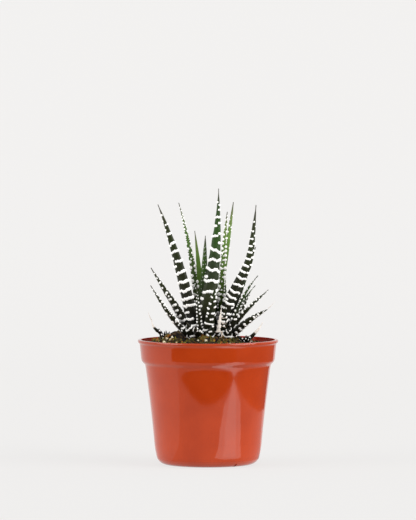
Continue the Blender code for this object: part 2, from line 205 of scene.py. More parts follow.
# %% [markdown]
# ## Camera and light
# A long lens from three metres shows the plant almost without perspective, as a product shot does. The
# camera stands a little higher than the plant and looks down at it by a few degrees.

# %% The camera
camera = bpy.data.objects.new("camera", bpy.data.cameras.new("camera"))
bpy.context.scene.collection.objects.link(camera)
camera.location = (0.0, -3.0, 0.263)
aim = Vector((0.0, 0.0, 0.131)) - camera.location
camera.rotation_euler = aim.to_track_quat("-Z", "Y").to_euler()
camera.data.lens = 324.5
camera.data.sensor_width = 36.0
bpy.context.scene.camera = camera
bpy.context.scene.view_settings.view_transform = "Standard"
print("camera looks down by", round(math.degrees(math.atan2(-aim.z, aim.y)), 1), "degrees")

# %% [markdown]
# The plant stands on a lit table of white acrylic that curves up behind it, so the ground is bright and
# takes nearly no shadow. Seen from its back the table is clear, so a camera behind the plant sees it too.

# %% The lit table


def add_stage(name, points, faces, colour, glow):
    """Part of the set rather than of the plant: a mesh in metres of matt colour that also glows white."""
    material, tree, shader = new_material(name, 0.9)
    shader.inputs["Base Color"].default_value = linear(colour)
    shader.inputs["Specular IOR Level"].default_value = 0.0
    shader.inputs["Emission Color"].default_value = linear("#FFFEFD")
    shader.inputs["Emission Strength"].default_value = glow
    piece = add_mesh(name, points, faces, material)
    return piece


def clear_back(piece):
    """Makes a piece of the set clear from its back, so that light and a camera there look through it."""
    tree = piece.data.materials[0].node_tree
    from_behind = add_node(tree, "NewGeometry").outputs["Backfacing"]
    clear = add_node(tree, "BsdfTransparent").outputs["BSDF"]
    front = tree.nodes["Principled BSDF"].outputs["BSDF"]
    one_sided = add_node(tree, "MixShader", links={0: from_behind, 1: front, 2: clear})
    tree.links.new(one_sided.outputs["Shader"], tree.nodes["Material Output"].inputs["Surface"])


# In metres: flat as far as BEND_START behind the plant, then a quarter turn up into a wall.
TABLE_HALF, BEND_START, BEND_RADIUS, WALL_TOP = 9.0, 0.9, 0.8, 4.0
TABLE_GAP = 0.0002  # the table lies this far below the pot's foot, so that they share no surface
bend = np.linspace(0.0, math.pi / 2, 24)
bend_places = zip(BEND_START + BEND_RADIUS * np.sin(bend), BEND_RADIUS * (1 - np.cos(bend)))
profile = [(-TABLE_HALF, 0.0), *bend_places, (BEND_START + BEND_RADIUS, WALL_TOP)]
table_points = [(x, float(y), float(z) - TABLE_GAP) for y, z in profile for x in (-TABLE_HALF, TABLE_HALF)]
table_faces = [(2 * i, 2 * i + 1, 2 * i + 3, 2 * i + 2) for i in range(len(profile) - 1)]
clear_back(add_stage("lit_acrylic_table", table_points, table_faces, "#5A5958", 0.74))
print("table profile:", len(profile), "points")

# %% [markdown]
# A glossy pot shows what stands round it. Its side leans out, so it mirrors the table from the foot
# outwards, and dark or glowing cards on the table draw the soft shapes that a studio leaves in its gloss.
# The last card lights the foot from below, as the white table does, and the gloss doesn't show it.

# %% Cards for the gloss
CARD_GAP = 0.0005  # the height of the lowest layer of cards, and from one layer to the next


def add_card(name, corners, glow, layer):
    """A card lying on the table that only the pot's gloss shows: black if it doesn't glow. Its corners are
    (compass angle from the front, distance from the pot's axis), x = distance sin a, y = -distance cos a."""
    turns = [(math.radians(angle), distance) for angle, distance in corners]
    points = [(r * math.sin(a), -r * math.cos(a), CARD_GAP * layer) for a, r in turns]
    card = add_stage(name, points, [tuple(range(len(corners)))], "#000000", glow)
    card.visible_camera = card.visible_diffuse = card.visible_shadow = card.visible_transmission = False
    return card


def ring_card(angles, near, far):
    """Corners of a card between two circles: along the first one and back along the second."""
    return [(a, near) for a in angles] + [(a, far) for a in reversed(angles)]


flag_edge = [(-62, 0.3), (-54, 0.235), (-48, 0.212), (-36, 0.19), (-21, 0.171), (-7, 0.161), (7, 0.163)]
flag_edge += [(20, 0.171), (32, 0.184), (45, 0.209)]
right_edge = [(45, 0.209), (51, 0.206), (59, 0.199), (78, 0.188), (101, 0.194), (134, 0.25), (150, 0.3)]
streak_edge = [(9, 0.043), (21, 0.118), (29, 0.163), (45, 0.208), (51, 0.205), (62, 0.178), (64, 0.125)]
core_edge = [(20, 0.043), (31, 0.12), (38, 0.17), (46, 0.208), (52, 0.19), (53, 0.12), (40, 0.043)]
CARDS = {  # name: corners, glow and layer above the table
    "front_grey": (ring_card(range(-54, 141, 12), 0.036, 0.4), 0.55, 1),
    "front_flag": ([*flag_edge, (50, 2.0), (-60, 2.0)], 0.0, 2),
    "right_flag": ([*right_edge, (148, 1.3), (130, 1.5), (85, 1.6), (50, 2.0)], 0.12, 2),
    "streak": ([*streak_edge, (50, 0.043)], 1.8, 2),
    "streak_core": (core_edge, 2.35, 3),
    "bounce": (ring_card(range(-110, 111, 20), 0.09, 0.036), 1.3, 1),
}
cards = {name: add_card(name, *numbers) for name, numbers in CARDS.items()}
cards["bounce"].visible_diffuse, cards["bounce"].visible_glossy = True, False
clear_back(cards["bounce"])
print("cards:", ", ".join(cards))

# %% [markdown]
# Two wide soft lights come from the front right and the front left, and a pale sky fills the shadows. A
# sun's light is even over the whole plant, and its width in degrees is what makes the shadows soft.

# %% Two lights and the sky


def add_sun(name, direction, strength, width):
    """A wide, even light that shines along direction. Its width is in degrees."""
    data = bpy.data.lights.new(name, "SUN")
    data.energy = strength
    data.angle = math.radians(width)
    light = bpy.data.objects.new(name, data)
    light.rotation_euler = Vector(direction).to_track_quat("-Z", "Y").to_euler()
    bpy.context.scene.collection.objects.link(light)


world = bpy.data.worlds.new("studio")
bpy.context.scene.world = world
world.use_nodes = True
sky = world.node_tree.nodes["Background"]
sky.inputs["Color"].default_value = linear("#F3F3F4")
sky.inputs["Strength"].default_value = 0.65
add_sun("key_right", (-0.8, 0.4, -0.35), 3.0, 50.0)
add_sun("fill_left", (0.85, 0.3, -0.35), 2.1, 50.0)
print("lights:", len(bpy.data.lights))

# %% [markdown]
# ## The pot
# The real pot is a thin shell of polypropylene, injection moulded with a collar that stiffens its rim. A
# moulded round shell is one outline turned about its axis, so the skin is that outline carried round 256
# steps. Corners of the outline are rounded, because no moulded corner is sharp, and each one catches light.

# %% The outline of the pot
WALL = 1.2
RIM_RADIUS, POT_HEIGHT = float(pot_high[0]), float(pot_high[2])
COLLAR_RADIUS = 42.9
SHOULDER_RADIUS, SHOULDER_HEIGHT = 40.2, 63.4
FOOT_RADIUS, FOOT_HEIGHT = 33.8, 6.4
BOW = 0.4  # how far the side bows in midway
POT_SIDES = 256


def rounded(corners, steps=6):
    """An outline of (radius, height, cut) corners, each replaced by a quadratic curve that starts and ends
    cut millimetres from it: (1 - t)^2 start + 2 t (1 - t) corner + t^2 end."""
    places = np.array([corner[:2] for corner in corners], float)
    outline = [places[0]]
    t = np.linspace(0.0, 1.0, steps)[:, None]
    for before, here, after, corner in zip(places, places[1:], places[2:], corners[1:]):
        start = here + (before - here) / np.linalg.norm(before - here) * corner[2]
        end = here + (after - here) / np.linalg.norm(after - here) * corner[2]
        curve = (1 - t) ** 2 * start + 2 * t * (1 - t) * here + t**2 * end
        outline.extend(curve if corner[2] else [here])
    return np.array([*outline, places[-1]])


def body_radius(height):
    """The body's side: a straight taper from the shoulder (share 0) to the foot (share 1), less the bow
    4 BOW share (1 - share)."""
    share = (SHOULDER_HEIGHT - height) / (SHOULDER_HEIGHT - FOOT_HEIGHT)
    return SHOULDER_RADIUS + (FOOT_RADIUS - SHOULDER_RADIUS) * share - 4 * BOW * share * (1 - share)


def side_points(inset, heights):
    """Corners along the side, set in from its outside."""
    return [(body_radius(h) - inset, h, 0.0) for h in heights]


body_heights = np.linspace(FOOT_HEIGHT + 4.0, 61.5, 14)
outside = [
    (0.0, 2.0, 0.0),
    (8.0, 2.0, 0.0),
    (20.0, 2.0, 0.0),
    (21.0, 2.0, 0.5),
    (22.0, 0.0, 0.4),
    (31.6, 0.0, 5.4),
    (body_radius(9.0), 9.0, 5.4),
    *side_points(0.0, body_heights[1:]),
    (40.4, 64.0, 0.8),
    (42.5, 66.2, 0.9),
    (COLLAR_RADIUS, 68.0, 0.3),
    (43.85, 77.4, 0.8),
    (RIM_RADIUS, 78.4, 0.5),
    (RIM_RADIUS, POT_HEIGHT, 0.75),
]
inside = [
    (43.9 - WALL, POT_HEIGHT, 0.5),
    (COLLAR_RADIUS - WALL, 67.0, 1.0),
    (40.4 - WALL, 62.6, 1.0),
    *side_points(WALL, body_heights[::-1]),
    (31.0, 1.2, 4.0),
    (22.6, 1.2, 0.3),
    (21.2, 3.2, 0.4),
    (8.0, 3.2, 0.0),
    (0.0, 3.2, 0.0),
]
outline = rounded(outside + inside)
print("pot outline:", len(outline), "points")

# %% [markdown]
# Moulded walls cool unevenly, so they are never quite round. The body gets ripples of a few hundredths of a
# millimetre, too shallow to see but enough to bend its reflections a little, as on the real pot.

# %% The turned shell


def turned(outline, sides):
    """Carries an outline of (radius, height) round the Z axis: x = radius cos a, y = radius sin a."""
    angle = np.arange(sides) * math.tau / sides
    radius, height = outline[1:-1, :1], outline[1:-1, 1:]
    rings = np.stack([radius * np.cos(angle), radius * np.sin(angle), height + 0 * angle], -1)
    ends = [[0.0, 0.0, outline[0, 1]], [0.0, 0.0, outline[-1, 1]]]
    return np.concatenate([rings.reshape(-1, 3), ends])


pot_points = turned(outline, POT_SIDES)
below_collar = np.clip((60.0 - pot_points[:, 2]) / 20.0, 0.0, 1.0)
sink = 1.0 + 0.0005 * below_collar * ripples(pot_points * (1.0, 1.0, 0.6), 26.0, 5)
pot_points[:, :2] *= sink[:, None]
print("pot skin:", len(pot_points), "points")

# %% [markdown]
# Polypropylene coloured right through with a terracotta pigment, glossy from a polished mould. Its skin
# is never quite even: flow marks shift the colour and scuffs make the gloss wander. Inside the rim the
# wall has no gloss and a deeper red, which is painted shade, so a stored number says where the inside is.

# %% Terracotta polypropylene
plastic, tree, shader = new_material("terracotta_polypropylene_moulded", 0.12, ior=1.49)
place = add_node(tree, "TexCoord").outputs["Object"]
# On Object coordinates, in metres, noise of scale s has blobs of about 1000 / s mm: 18 for the flow marks
# and 2.4 for the scuffs.
flow = add_node(tree, "TexNoise", {"Scale": 55.0, "Detail": 3.0}, {"Vector": place})
tint = add_node(tree, "ValToRGB", links={"Fac": flow.outputs["Fac"]})
set_stops(tint, {0.3: "#9A310D", 0.7: "#A43711"})
inside_wall = add_node(tree, "Attribute", {"attribute_name": "inside"}).outputs["Fac"]
# A Mix node set to colours has its share at input 0, its colours at 6 and 7, and the result at output 2.
# The deeper red inside the rim is painted shade for the shaded inner wall.
inside_painted_shade_red = {"data_type": "RGBA", 7: linear("#A82203")}
wall_colour = add_node(tree, "Mix", inside_painted_shade_red, {0: inside_wall, 6: tint.outputs["Color"]})
tree.links.new(wall_colour.outputs[2], shader.inputs["Base Color"])
shine = add_node(tree, "MapRange", {"To Min": 0.5, "To Max": 0.0}, {"Value": inside_wall})
tree.links.new(shine.outputs["Result"], shader.inputs["Specular IOR Level"])
scuffs = add_node(tree, "TexNoise", {"Scale": 420.0, "Detail": 4.0, "Roughness": 0.7}, {"Vector": place})
scuffed = {"From Min": 0.35, "From Max": 0.75, "To Min": 0.05, "To Max": 0.1}
gloss = add_node(tree, "MapRange", scuffed, {"Value": scuffs.outputs["Fac"]})
tree.links.new(gloss.outputs["Result"], shader.inputs["Roughness"])
print(plastic.name, "has", len(tree.nodes), "nodes")

# %% [markdown]
# Water leaves through holes in the raised floor and through slots in the foot's corner. The mould leaves
# their edges sharp, so simple solids are cut out of the shell with one exact Boolean.

# %% Cutters for the holes and slots
DRAIN_HOLES, HOLE_RADIUS, HOLE_CIRCLE, HOLE_SIDES = 6, 3.0, 13.0, 32
SLOTS, SLOT_MIDDLE, SLOT_REACH, SLOT_HALF = 3, 29.4, 4.5, 0.6
HOLE_ENDS, SLOT_ENDS = (-2.0, 7.0), (-2.1, 2.1)  # the heights from which to which they cut
FIRST_SLOT = -55.0  # degrees from the X axis, to the right of the front


def cutter(name, points, faces):
    """A helper solid in millimetres that isn't rendered."""
    mesh = bpy.data.meshes.new(name)
    mesh.from_pydata((np.asarray(points) * MM).tolist(), [], faces)
    piece = bpy.data.objects.new(name, mesh)
    piece.hide_render = True
    return piece


def cut_away(piece, cutters):
    """Takes the cutters out of a piece, keeps the result as its mesh and removes the cutters."""
    group = bpy.data.collections.new("cutters")
    bpy.context.scene.collection.children.link(group)
    for one in cutters:
        group.objects.link(one)
    cut = piece.modifiers.new("Cut", "BOOLEAN")
    cut.operand_type = "COLLECTION"
    cut.collection = group
    cut.solver = "EXACT"
    graph = bpy.context.evaluated_depsgraph_get()
    mesh = bpy.data.meshes.new_from_object(piece.evaluated_get(graph), depsgraph=graph)
    piece.modifiers.clear()
    piece.data = mesh
    for one in cutters:
        bpy.data.objects.remove(one)
    bpy.data.collections.remove(group)


def drain_cutters():
    """Round rods on a circle for the holes, and thin blocks that point outwards for the slots."""
    turn = np.arange(HOLE_SIDES) * math.tau / HOLE_SIDES
    cutters = []
    for k in range(DRAIN_HOLES):
        at = math.tau * k / DRAIN_HOLES
        centre = (HOLE_CIRCLE * math.cos(at), HOLE_CIRCLE * math.sin(at))
        x, y = centre[0] + HOLE_RADIUS * np.cos(turn), centre[1] + HOLE_RADIUS * np.sin(turn)
        rings = np.concatenate([np.stack([x, y, np.full(HOLE_SIDES, z)], -1) for z in HOLE_ENDS])
        points = np.concatenate([rings, [(*centre, z) for z in HOLE_ENDS]])
        cutters.append(cutter(f"drain_{k}", points, skin_faces(2, HOLE_SIDES)))
    for k in range(SLOTS):
        at = math.radians(FIRST_SLOT + 360.0 * k / SLOTS)
        out, across = np.array([math.cos(at), math.sin(at)]), np.array([-math.sin(at), math.cos(at)])
        corners = ((-1, -1), (1, -1), (1, 1), (-1, 1))
        ring = [out * (SLOT_MIDDLE + a * SLOT_REACH) + across * b * SLOT_HALF for a, b in corners]
        points = [(*p, z) for z in SLOT_ENDS for p in ring]
        faces = [(3, 2, 1, 0), (4, 5, 6, 7), *((i, (i + 1) % 4, (i + 1) % 4 + 4, i + 4) for i in range(4))]
        cutters.append(cutter(f"slot_{k}", points, faces))
    return cutters


print("holes:", DRAIN_HOLES, " slots:", SLOTS)

# %% [markdown]
# Cut edges would look rounded under smooth shading, so edges of more than 40 degrees are marked as sharp.
# The number for the inside wall is stored last, because the Boolean makes new points.

# %% The finished pot
INSIDE_FROM = 68.5  # the inside wall has its own colour above this height

pot_shape = (pot_points, skin_faces(len(outline) - 2, POT_SIDES), {})
pot = make_piece("nursery_pot", pot_shape, plastic, "pot")
cut_away(pot, drain_cutters())
pot.data.set_sharp_from_angle(angle=math.radians(40))
places = np.array([vertex.co for vertex in pot.data.vertices]) / MM
within = np.hypot(places[:, 0], places[:, 1]) < COLLAR_RADIUS
store(pot.data, {"inside": within & (places[:, 2] > INSIDE_FROM)})
print("pot:", len(pot.data.polygons), "faces")

# %% [markdown]
# ## The potting mix
# Peat mix is a heap of crumbs, so its top is a gentle mound with several sizes of waves on it. The mound is
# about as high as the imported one, but flatter on top, and it ends 2 to 3 mm lower at the wall, where mix
# settles. It has a hump beside the chip of bark, and a hollow before each stem, where dark leaf bases show.

# %% The mound
SOIL_EDGE = 41.2
MIX_LEVEL = 76.4
HUMP_X, HUMP_HEIGHT, HUMP_SIZE = -6.0, 6.0, 28.0
EDGE_FALL = 1.3  # how much lower the mix lies by the wall
# Small humps and hollows as (x, y, height, size): beside the bark, and before the two stems.
SWELLS = ((-24.0, -14.0, 1.8, 5.0), (-10.6, -13.5, -2.4, 4.2), (10.6, -12.5, -1.8, 3.0))


def mound(x, y):
    """Height of the mix: its level, a broad hump as height exp(-(r / size)^4), the swells as
    height exp(-(r / size)^2 / 2), three waves of 0.4 mm, and a fall near the wall."""
    bell = HUMP_HEIGHT * np.exp(-((((x - HUMP_X) ** 2 + y**2) / HUMP_SIZE**2) ** 2))
    for at_x, at_y, height, size in SWELLS:
        bell = bell + height * np.exp(-((x - at_x) ** 2 + (y - at_y) ** 2) / (2.0 * size**2))
    waves = np.sin(0.31 * x + 0.9) * np.cos(0.27 * y) + np.sin(0.19 * x - 0.43 * y + 2.0)
    fall = EDGE_FALL * np.clip((np.hypot(x, y) - 34.0) / 5.0, 0.0, 1.0)
    return MIX_LEVEL + bell + 0.4 * (waves + 0.6 * np.sin(0.52 * x + 0.37 * y)) - fall


def soil_top(x, y):
    """The mound with crumbs of about 7, 3 and 1.4 mm on it."""
    places = np.stack([x, y], -1)
    rough = 0.45 * ripples(places, 7.0, 1) + 0.3 * ripples(places, 3.0, 2)
    rough = rough + 0.16 * ripples(places, 1.4, 3, 14)
    return mound(x, y) + rough


middle_height = float(soil_top(np.array(0.0), np.array(0.0)))
print("mix in the middle:", round(middle_height, 1), "mm")

# %% [markdown]
# The top is a grid of rings that shrink to the middle, each point lifted to the height of the mound. Rings
# down the pot's wall and a middle point at both ends close it, so the mix is one solid body.

# %% The body of the mix
SOIL_SIDES, SOIL_RINGS = 220, 72
turn = np.arange(SOIL_SIDES) * math.tau / SOIL_SIDES
reach = SOIL_EDGE * np.linspace(1.0, 0.004, SOIL_RINGS)[:, None]
top_x, top_y = reach * np.cos(turn), reach * np.sin(turn)
top = np.stack([top_x, top_y, soil_top(top_x, top_y)], -1)
# The mix against the pot as (radius, height), from the pot's floor up to the edge of the top.
under = np.array([(26.0, 3.5), (32.0, 8.0), (38.5, 61.0), (40.9, 68.5), (41.2, 73.5)])
wall_radius, wall_height = under[:, :1], under[:, 1:]
wall_rings = np.stack([wall_radius * np.cos(turn), wall_radius * np.sin(turn), wall_height + 0 * turn], -1)
ends = [(0.0, 0.0, under[0, 1]), (0.0, 0.0, middle_height)]
soil_points = np.concatenate([wall_rings.reshape(-1, 3), top.reshape(-1, 3), ends])
print("mix top from", top[..., 2].min().round(1), "to", top[..., 2].max().round(1), "mm")

# %% [markdown]
# Damp peat is nearly black, with brown fibres and a green film of algae here and there. One fine noise
# picks the colour and lifts the grain, so light grains stand out as they do in the real mix.

# %% Peat
peat, tree, shader = new_material("damp_peat_mix", 0.95, ior=1.4)
place = add_node(tree, "TexCoord").outputs["Object"]
# Crumbs of 2 mm, whose roughness of 0.75 adds much finer ones.
crumbs = add_node(tree, "TexNoise", {"Scale": 500.0, "Detail": 6.0, "Roughness": 0.75}, {"Vector": place})
peat_colour = add_node(tree, "ValToRGB", links={"Fac": crumbs.outputs["Fac"]})
set_stops(peat_colour, {0.3: "#080502", 0.48: "#201506", 0.6: "#463A0C", 0.75: "#6C5C14"})
tree.links.new(peat_colour.outputs["Color"], shader.inputs["Base Color"])
bump = add_node(tree, "Bump", {"Strength": 0.8, "Distance": 0.0005}, {"Height": crumbs.outputs["Fac"]})
tree.links.new(bump.outputs["Normal"], shader.inputs["Normal"])
soil_shape = (soil_points, skin_faces(len(under) + SOIL_RINGS, SOIL_SIDES), {})
make_piece("potting_mix", soil_shape, peat, "soil")
print(peat.name, "has", len(tree.nodes), "nodes")

# %% [markdown]
# ## Leaves
# Each leaf is a long tapering body: a bulging back that carries white pearls, and a nearly flat inner face.
# Its middle line comes from a few angles of lean, added up in short steps, as a leaf bends while it grows.
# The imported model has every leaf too. These have many more points, and a few are moved or bent a little.

# %% What describes a leaf


class Leaf(NamedTuple):
    """One leaf. face is the compass angle of its back, heading the one it leans towards, and lean holds its
    angles from upright from root to tip. marks names the pattern of its pearls, and fresh how green it is.
    rows, if given, are its own marks: (distance, start, end) and then slant, wave and phase where they
    aren't zero, see Pearls.row. A small taper makes a blunt leaf, and dry_from is the share of the length
    from which it has dried up."""

    root: tuple
    face: float
    heading: float
    lean: tuple
    length: float
    width: float
    marks: str
    fresh: float
    rows: tuple = ()
    taper: float = 1.05
    dry_from: float = 0.88


print("a leaf is", ", ".join(Leaf._fields))

# %% [markdown]
# The bands of the four leaves that stand in front are set one by one, from the root to the tip: how far
# along the leaf each one lies, and from where to where it runs across the back.

# %% Bands of the four leaves in front
MIDDLE_ROWS = (
    (9.0, 0.0, 0.35, 0.8, 0.4, 0.1), (14.5, 0.0, 0.1), (19.5, 0.0, 0.08), (24.5, 0.0, 0.07),
    (26.5, 0.8, 1.0, 0.6), (29.9, 0.05, 1.0, 2.4, 0.25, 0.4), (36.8, 0.0, 1.0, 0.4, 0.5, 0.27),
    (38.9, 0.0, 0.07), (43.8, 0.0, 1.0, -0.4, 0.75), (50.2, 0.0, 1.0, 0.3, 0.45, 0.5),
    (56.3, 0.0, 1.0, -2.4, 0.3, 0.1), (61.4, 0.8, 1.0), (65.6, 0.0, 0.5, 0.6, 0.3, 0.5),
    (67.5, 0.78, 1.0, -0.8), (72.1, 0.0, 0.25, 0.4), (73.7, 0.72, 1.0, 0.6),
    (77.6, 0.0, 1.0, 0.3, 0.2, 0.5), (82.2, 0.62, 0.9), (85.4, 0.8, 1.0), (87.0, 0.0, 0.1),
)
FRONT_ROWS = (
    (2.2, 0.6, 1.0, 0.2), (6.0, 0.0, 0.35, 0.5, 0.3, 0.3), (10.1, 0.05, 0.8, -0.9, 0.2, 0.2),
    (13.5, 0.5, 0.7, -0.4), (15.0, 0.06, 0.1), (16.3, 0.94, 1.0), (17.2, 0.08, 0.14),
    (17.6, 0.55, 0.8, 0.4), (20.2, 0.0, 0.1), (21.6, 0.8, 1.0, 0.3), (23.8, 0.0, 0.14), (25.8, 0.7, 0.95),
    (28.4, 0.0, 0.15), (31.0, 0.8, 1.0),
)
LEFT_ROWS = (
    (7.5, 0.75, 1.0, 0.4), (12.0, 0.4, 0.85, 0.3, 0.2, 0.5), (16.4, 0.15, 0.62, -0.3, 0.3, 0.1),
    (20.6, 0.0, 0.5, 0.3, 0.3, 0.6), (20.9, 0.62, 1.0, 0.2, 0.2, 0.1), (25.2, 0.0, 0.45, 0.4, 0.3),
    (25.6, 0.55, 1.0, 0.0, 0.3, 0.4), (30.7, 0.0, 1.0, 0.5, 0.55, 0.5), (36.5, 0.0, 1.0, 0.8, 0.5, 0.3),
    (42.3, 0.0, 0.4, 0.2, 0.2), (42.9, 0.55, 1.0, 0.6, 0.3, 0.5), (47.3, 0.0, 0.42, 0.5, 0.2),
    (50.2, 0.58, 1.0, 0.4, 0.2), (52.6, 0.0, 0.3, 0.2), (56.4, 0.0, 0.36, 0.6), (56.9, 0.6, 1.0, 0.4),
    (61.2, 0.0, 0.45, 0.6), (62.2, 0.62, 1.0, 1.0), (66.0, 0.0, 0.2), (68.7, 0.58, 1.0, 0.5),
    (71.6, 0.0, 0.3), (75.0, 0.75, 1.0), (77.6, 0.0, 0.2), (81.6, 0.4, 0.6),
)
RIGHT_ROWS = (
    (6.5, 0.0, 1.0, 0.5, 0.4), (10.5, 0.0, 0.5, 0.5, 0.4, 0.5), (11.5, 0.6, 1.0, 1.2, 0.3),
    (15.0, 0.05, 0.35, 1.0), (15.5, 0.5, 1.0, 1.5, 0.3, 0.3), (19.0, 0.0, 0.2), (19.8, 0.75, 1.0, 2.0),
    (22.6, 0.0, 1.0, -0.4, 0.4), (24.8, 0.0, 0.08), (27.0, 0.0, 1.0, -0.9, 0.35, 0.1),
    (31.2, 0.0, 1.0, 0.3, 0.45, 0.05), (36.2, 0.0, 1.0, 0.4, 0.4, 0.5), (40.9, 0.0, 0.45, 0.3, 0.3),
    (41.3, 0.55, 1.0, 0.3, 0.2), (45.2, 0.0, 0.36), (45.6, 0.62, 1.0, 0.3), (49.6, 0.0, 0.4, 0.2),
    (50.8, 0.66, 1.0, 0.3), (54.0, 0.0, 0.35), (55.4, 0.6, 1.0, 0.3), (58.4, 0.0, 0.4), (59.8, 0.7, 1.0),
    (62.4, 0.0, 0.3), (64.2, 0.6, 1.0), (67.0, 0.0, 0.3), (69.4, 0.7, 1.0), (72.0, 0.0, 0.2),
    (75.0, 0.75, 1.0), (78.0, 0.1, 0.2),
)
print("bands set one by one:", sum(map(len, (MIDDLE_ROWS, FRONT_ROWS, LEFT_ROWS, RIGHT_ROWS))))

# %% [markdown]
# Each head has tall young leaves in its middle, older ones that lean outwards, and short broken ones at its
# foot. The two small pups have five leaves each, and their longest one has dried up from the tip.

# %% The four heads
HEADS = {
    "rosette_left": (
        Leaf((-4.3, -7.0, 82), 277, 355, (12, 9, 5, 0), 96, 10.2, "rows", 0.45, MIDDLE_ROWS, 1.0),
        Leaf((-9.0, -5.8, 82), 228, 200, (4, 13, 17, 20, 24), 89, 9.5, "rows", 0.05, LEFT_ROWS, 0.95),
        Leaf((-8.4, -4.6, 84), 205, 184, (32, 35, 32), 51, 7.6, "hooks", 0.0, taper=0.92),
        Leaf((-10.0, -4.8, 81), 205, 197, (47, 43, 38, 35, 32), 44.5, 6.0, "chain", 0.0, taper=0.92),
        Leaf((-4.2, -8.8, 82), 262, 250, (18, 12), 34, 4.8, "columns", 0.1),
        Leaf((-0.4, -8.6, 82), 282, 292, (18, 28), 37.5, 7.6, "rows", 0.1, FRONT_ROWS),
        Leaf((-5.6, -8.2, 83.5), 262, 262, (70, 78), 21, 6.4, "edges", 0.0),
        Leaf((-10.6, -6.6, 80.5), 216, 212, (42, 34), 13, 8.4, "worn", 0.0),
        Leaf((-8.6, -8.4, 80.5), 242, 240, (34, 46), 15, 8.8, "worn", 0.0),
        Leaf((-1.2, -8.8, 80.5), 296, 300, (46, 40), 14, 8.0, "blotches", 0.05),
        Leaf((-5.6, -3.2, 83), 270, 0, (6, 1), 64, 6.2, "centre", 0.62, taper=0.75),
        Leaf((-5.4, 0.6, 82), 112, 170, (2, 16), 87, 4.8, "chain", 0.58, taper=0.8),
        Leaf((-4.1, 1.2, 82), 84, 180, (0, 7.5), 68, 5.0, "plain", 0.95, taper=0.8),
        Leaf((-2.5, -0.3, 83), 50, 60, (6, 8), 44, 5.4, "edges", 0.6),
        Leaf((-7.3, 0.6, 82), 110, 110, (45, 32), 45, 7.5, "bands", 0.1),
        Leaf((-9.6, -0.9, 83), 150, 150, (38, 34), 43, 6.0, "bands", 0.05),
        Leaf((-9.4, -1.6, 81), 165, 165, (50, 34), 29, 5.6, "tight", 0.0),
        Leaf((-4.6, 1.0, 82), 85, 85, (42, 28), 43, 7.4, "bands", 0.1),
        Leaf((-10.4, 0.2, 80.5), 160, 160, (44, 38), 12, 8.0, "tight", 0.0),
        Leaf((-6.4, 2.6, 80.5), 100, 100, (44, 38), 16, 8.0, "tight", 0.0),
    ),
    "rosette_right": (
        Leaf((7.6, -2.2, 82), 302, 345, (8, 16, 29, 28, 8, 7, 5), 89, 8.3, "rows", 0.05, RIGHT_ROWS, 0.92),
        Leaf((10.0, 1.0, 82), 20, 8, (19, 22, 16), 61, 5.0, "thin", 0.2),
        Leaf((11.5, 0.0, 83), 348, 350, (20, 26, 42), 44, 5.8, "thin", 0.3),
        Leaf((11.5, 5.0, 83), 35, 28, (26, 30, 38, 46), 38, 4.4, "thin", 0.2),
        Leaf((12.0, 1.0, 82), 345, 350, (20, 38, 45, 50, 48), 41, 6.2, "chain", 0.05, taper=0.9),
        Leaf((12.6, -1.8, 81.2), 325, 338, (44, 56, 66), 33.5, 6.6, "hooks", 0.0, taper=0.8),
        Leaf((8.6, -2.6, 82), 275, 280, (28, 44), 25, 7.2, "blotches", 0.05),
        Leaf((12.2, -1.8, 82), 305, 310, (30, 40), 21, 6.0, "blotches", 0.0),
        Leaf((6.4, -8.6, 85.4), 298, 285, (30, 25), 18.5, 4.0, "dry", 0.0, dry_from=-0.3),
        Leaf((6.4, -1.8, 80.5), 258, 262, (42, 46), 12, 7.6, "blotches", 0.0),
        Leaf((10.6, -2.6, 80.5), 290, 290, (50, 56), 14, 8.0, "tight", 0.0),
        Leaf((14.2, -0.6, 80.5), 320, 325, (30, 36), 8.5, 7.0, "tight", 0.0),
        Leaf((8.2, 3.9, 83), 110, 20, (0, 6.5), 79, 4.8, "chain", 0.82, taper=0.65),
        Leaf((3.2, 6.9, 82), 125, 5, (10, 7.5), 87, 4.8, "fresh", 0.92, taper=0.65),
        Leaf((10.0, 6.0, 83), 60, 80, (5, 8), 44, 5.2, "edges", 0.6),
        Leaf((10.8, 6.6, 82), 72, 72, (42, 32), 41, 7.6, "bands", 0.1),
        Leaf((8.6, 7.2, 82), 100, 100, (45, 34), 45, 7.2, "bands", 0.1),
        Leaf((12.8, 6.3, 82), 48, 46, (36, 40), 33, 5.6, "bands", 0.0),
        Leaf((13.4, 5.3, 81), 20, 20, (50, 59), 25, 6.0, "tight", 0.0),
        Leaf((8.4, 8.6, 80.5), 105, 105, (50, 42), 16, 8.0, "tight", 0.0),
        Leaf((13.2, 7.6, 80.5), 55, 52, (50, 46), 10, 7.6, "tight", 0.0),
    ),
    "offset_left": (
        Leaf((-29.0, -4.7, 81), 215, 196, (6, 22, 66, 44, 20, 12), 14.5, 3.4, "pup", 0.1, dry_from=0.6),
        Leaf((-26.4, -4.8, 81), 310, 200, (8, 4), 5.2, 3.2, "pup", 0.1),
        Leaf((-27.0, -5.3, 81), 268, 262, (52, 46), 7.5, 3.2, "pup", 0.1),
        Leaf((-26.6, -3.7, 81), 60, 60, (46, 40), 5.8, 3.0, "pup", 0.1),
        Leaf((-27.6, -3.7, 81), 140, 140, (44, 34), 8.0, 3.0, "pup", 0.1),
    ),
    "offset_right": (
        Leaf((24.0, -9.2, 79.6), 335, 352, (50, 46, 26), 16.5, 3.6, "pup", 0.1, dry_from=0.42),
        Leaf((23.0, -9.6, 79.6), 240, 225, (50, 44), 4.4, 2.9, "pup", 0.1),
        Leaf((23.8, -9.8, 79.6), 290, 290, (58, 50), 6.5, 3.0, "pup", 0.1),
        Leaf((23.6, -8.2, 79.6), 75, 75, (48, 40), 5.0, 2.9, "pup", 0.1),
        Leaf((22.8, -8.4, 79.6), 150, 165, (58, 50), 5.0, 2.9, "pup", 0.1),
    ),
}
print("leaves:", {head: len(leaves) for head, leaves in HEADS.items()})

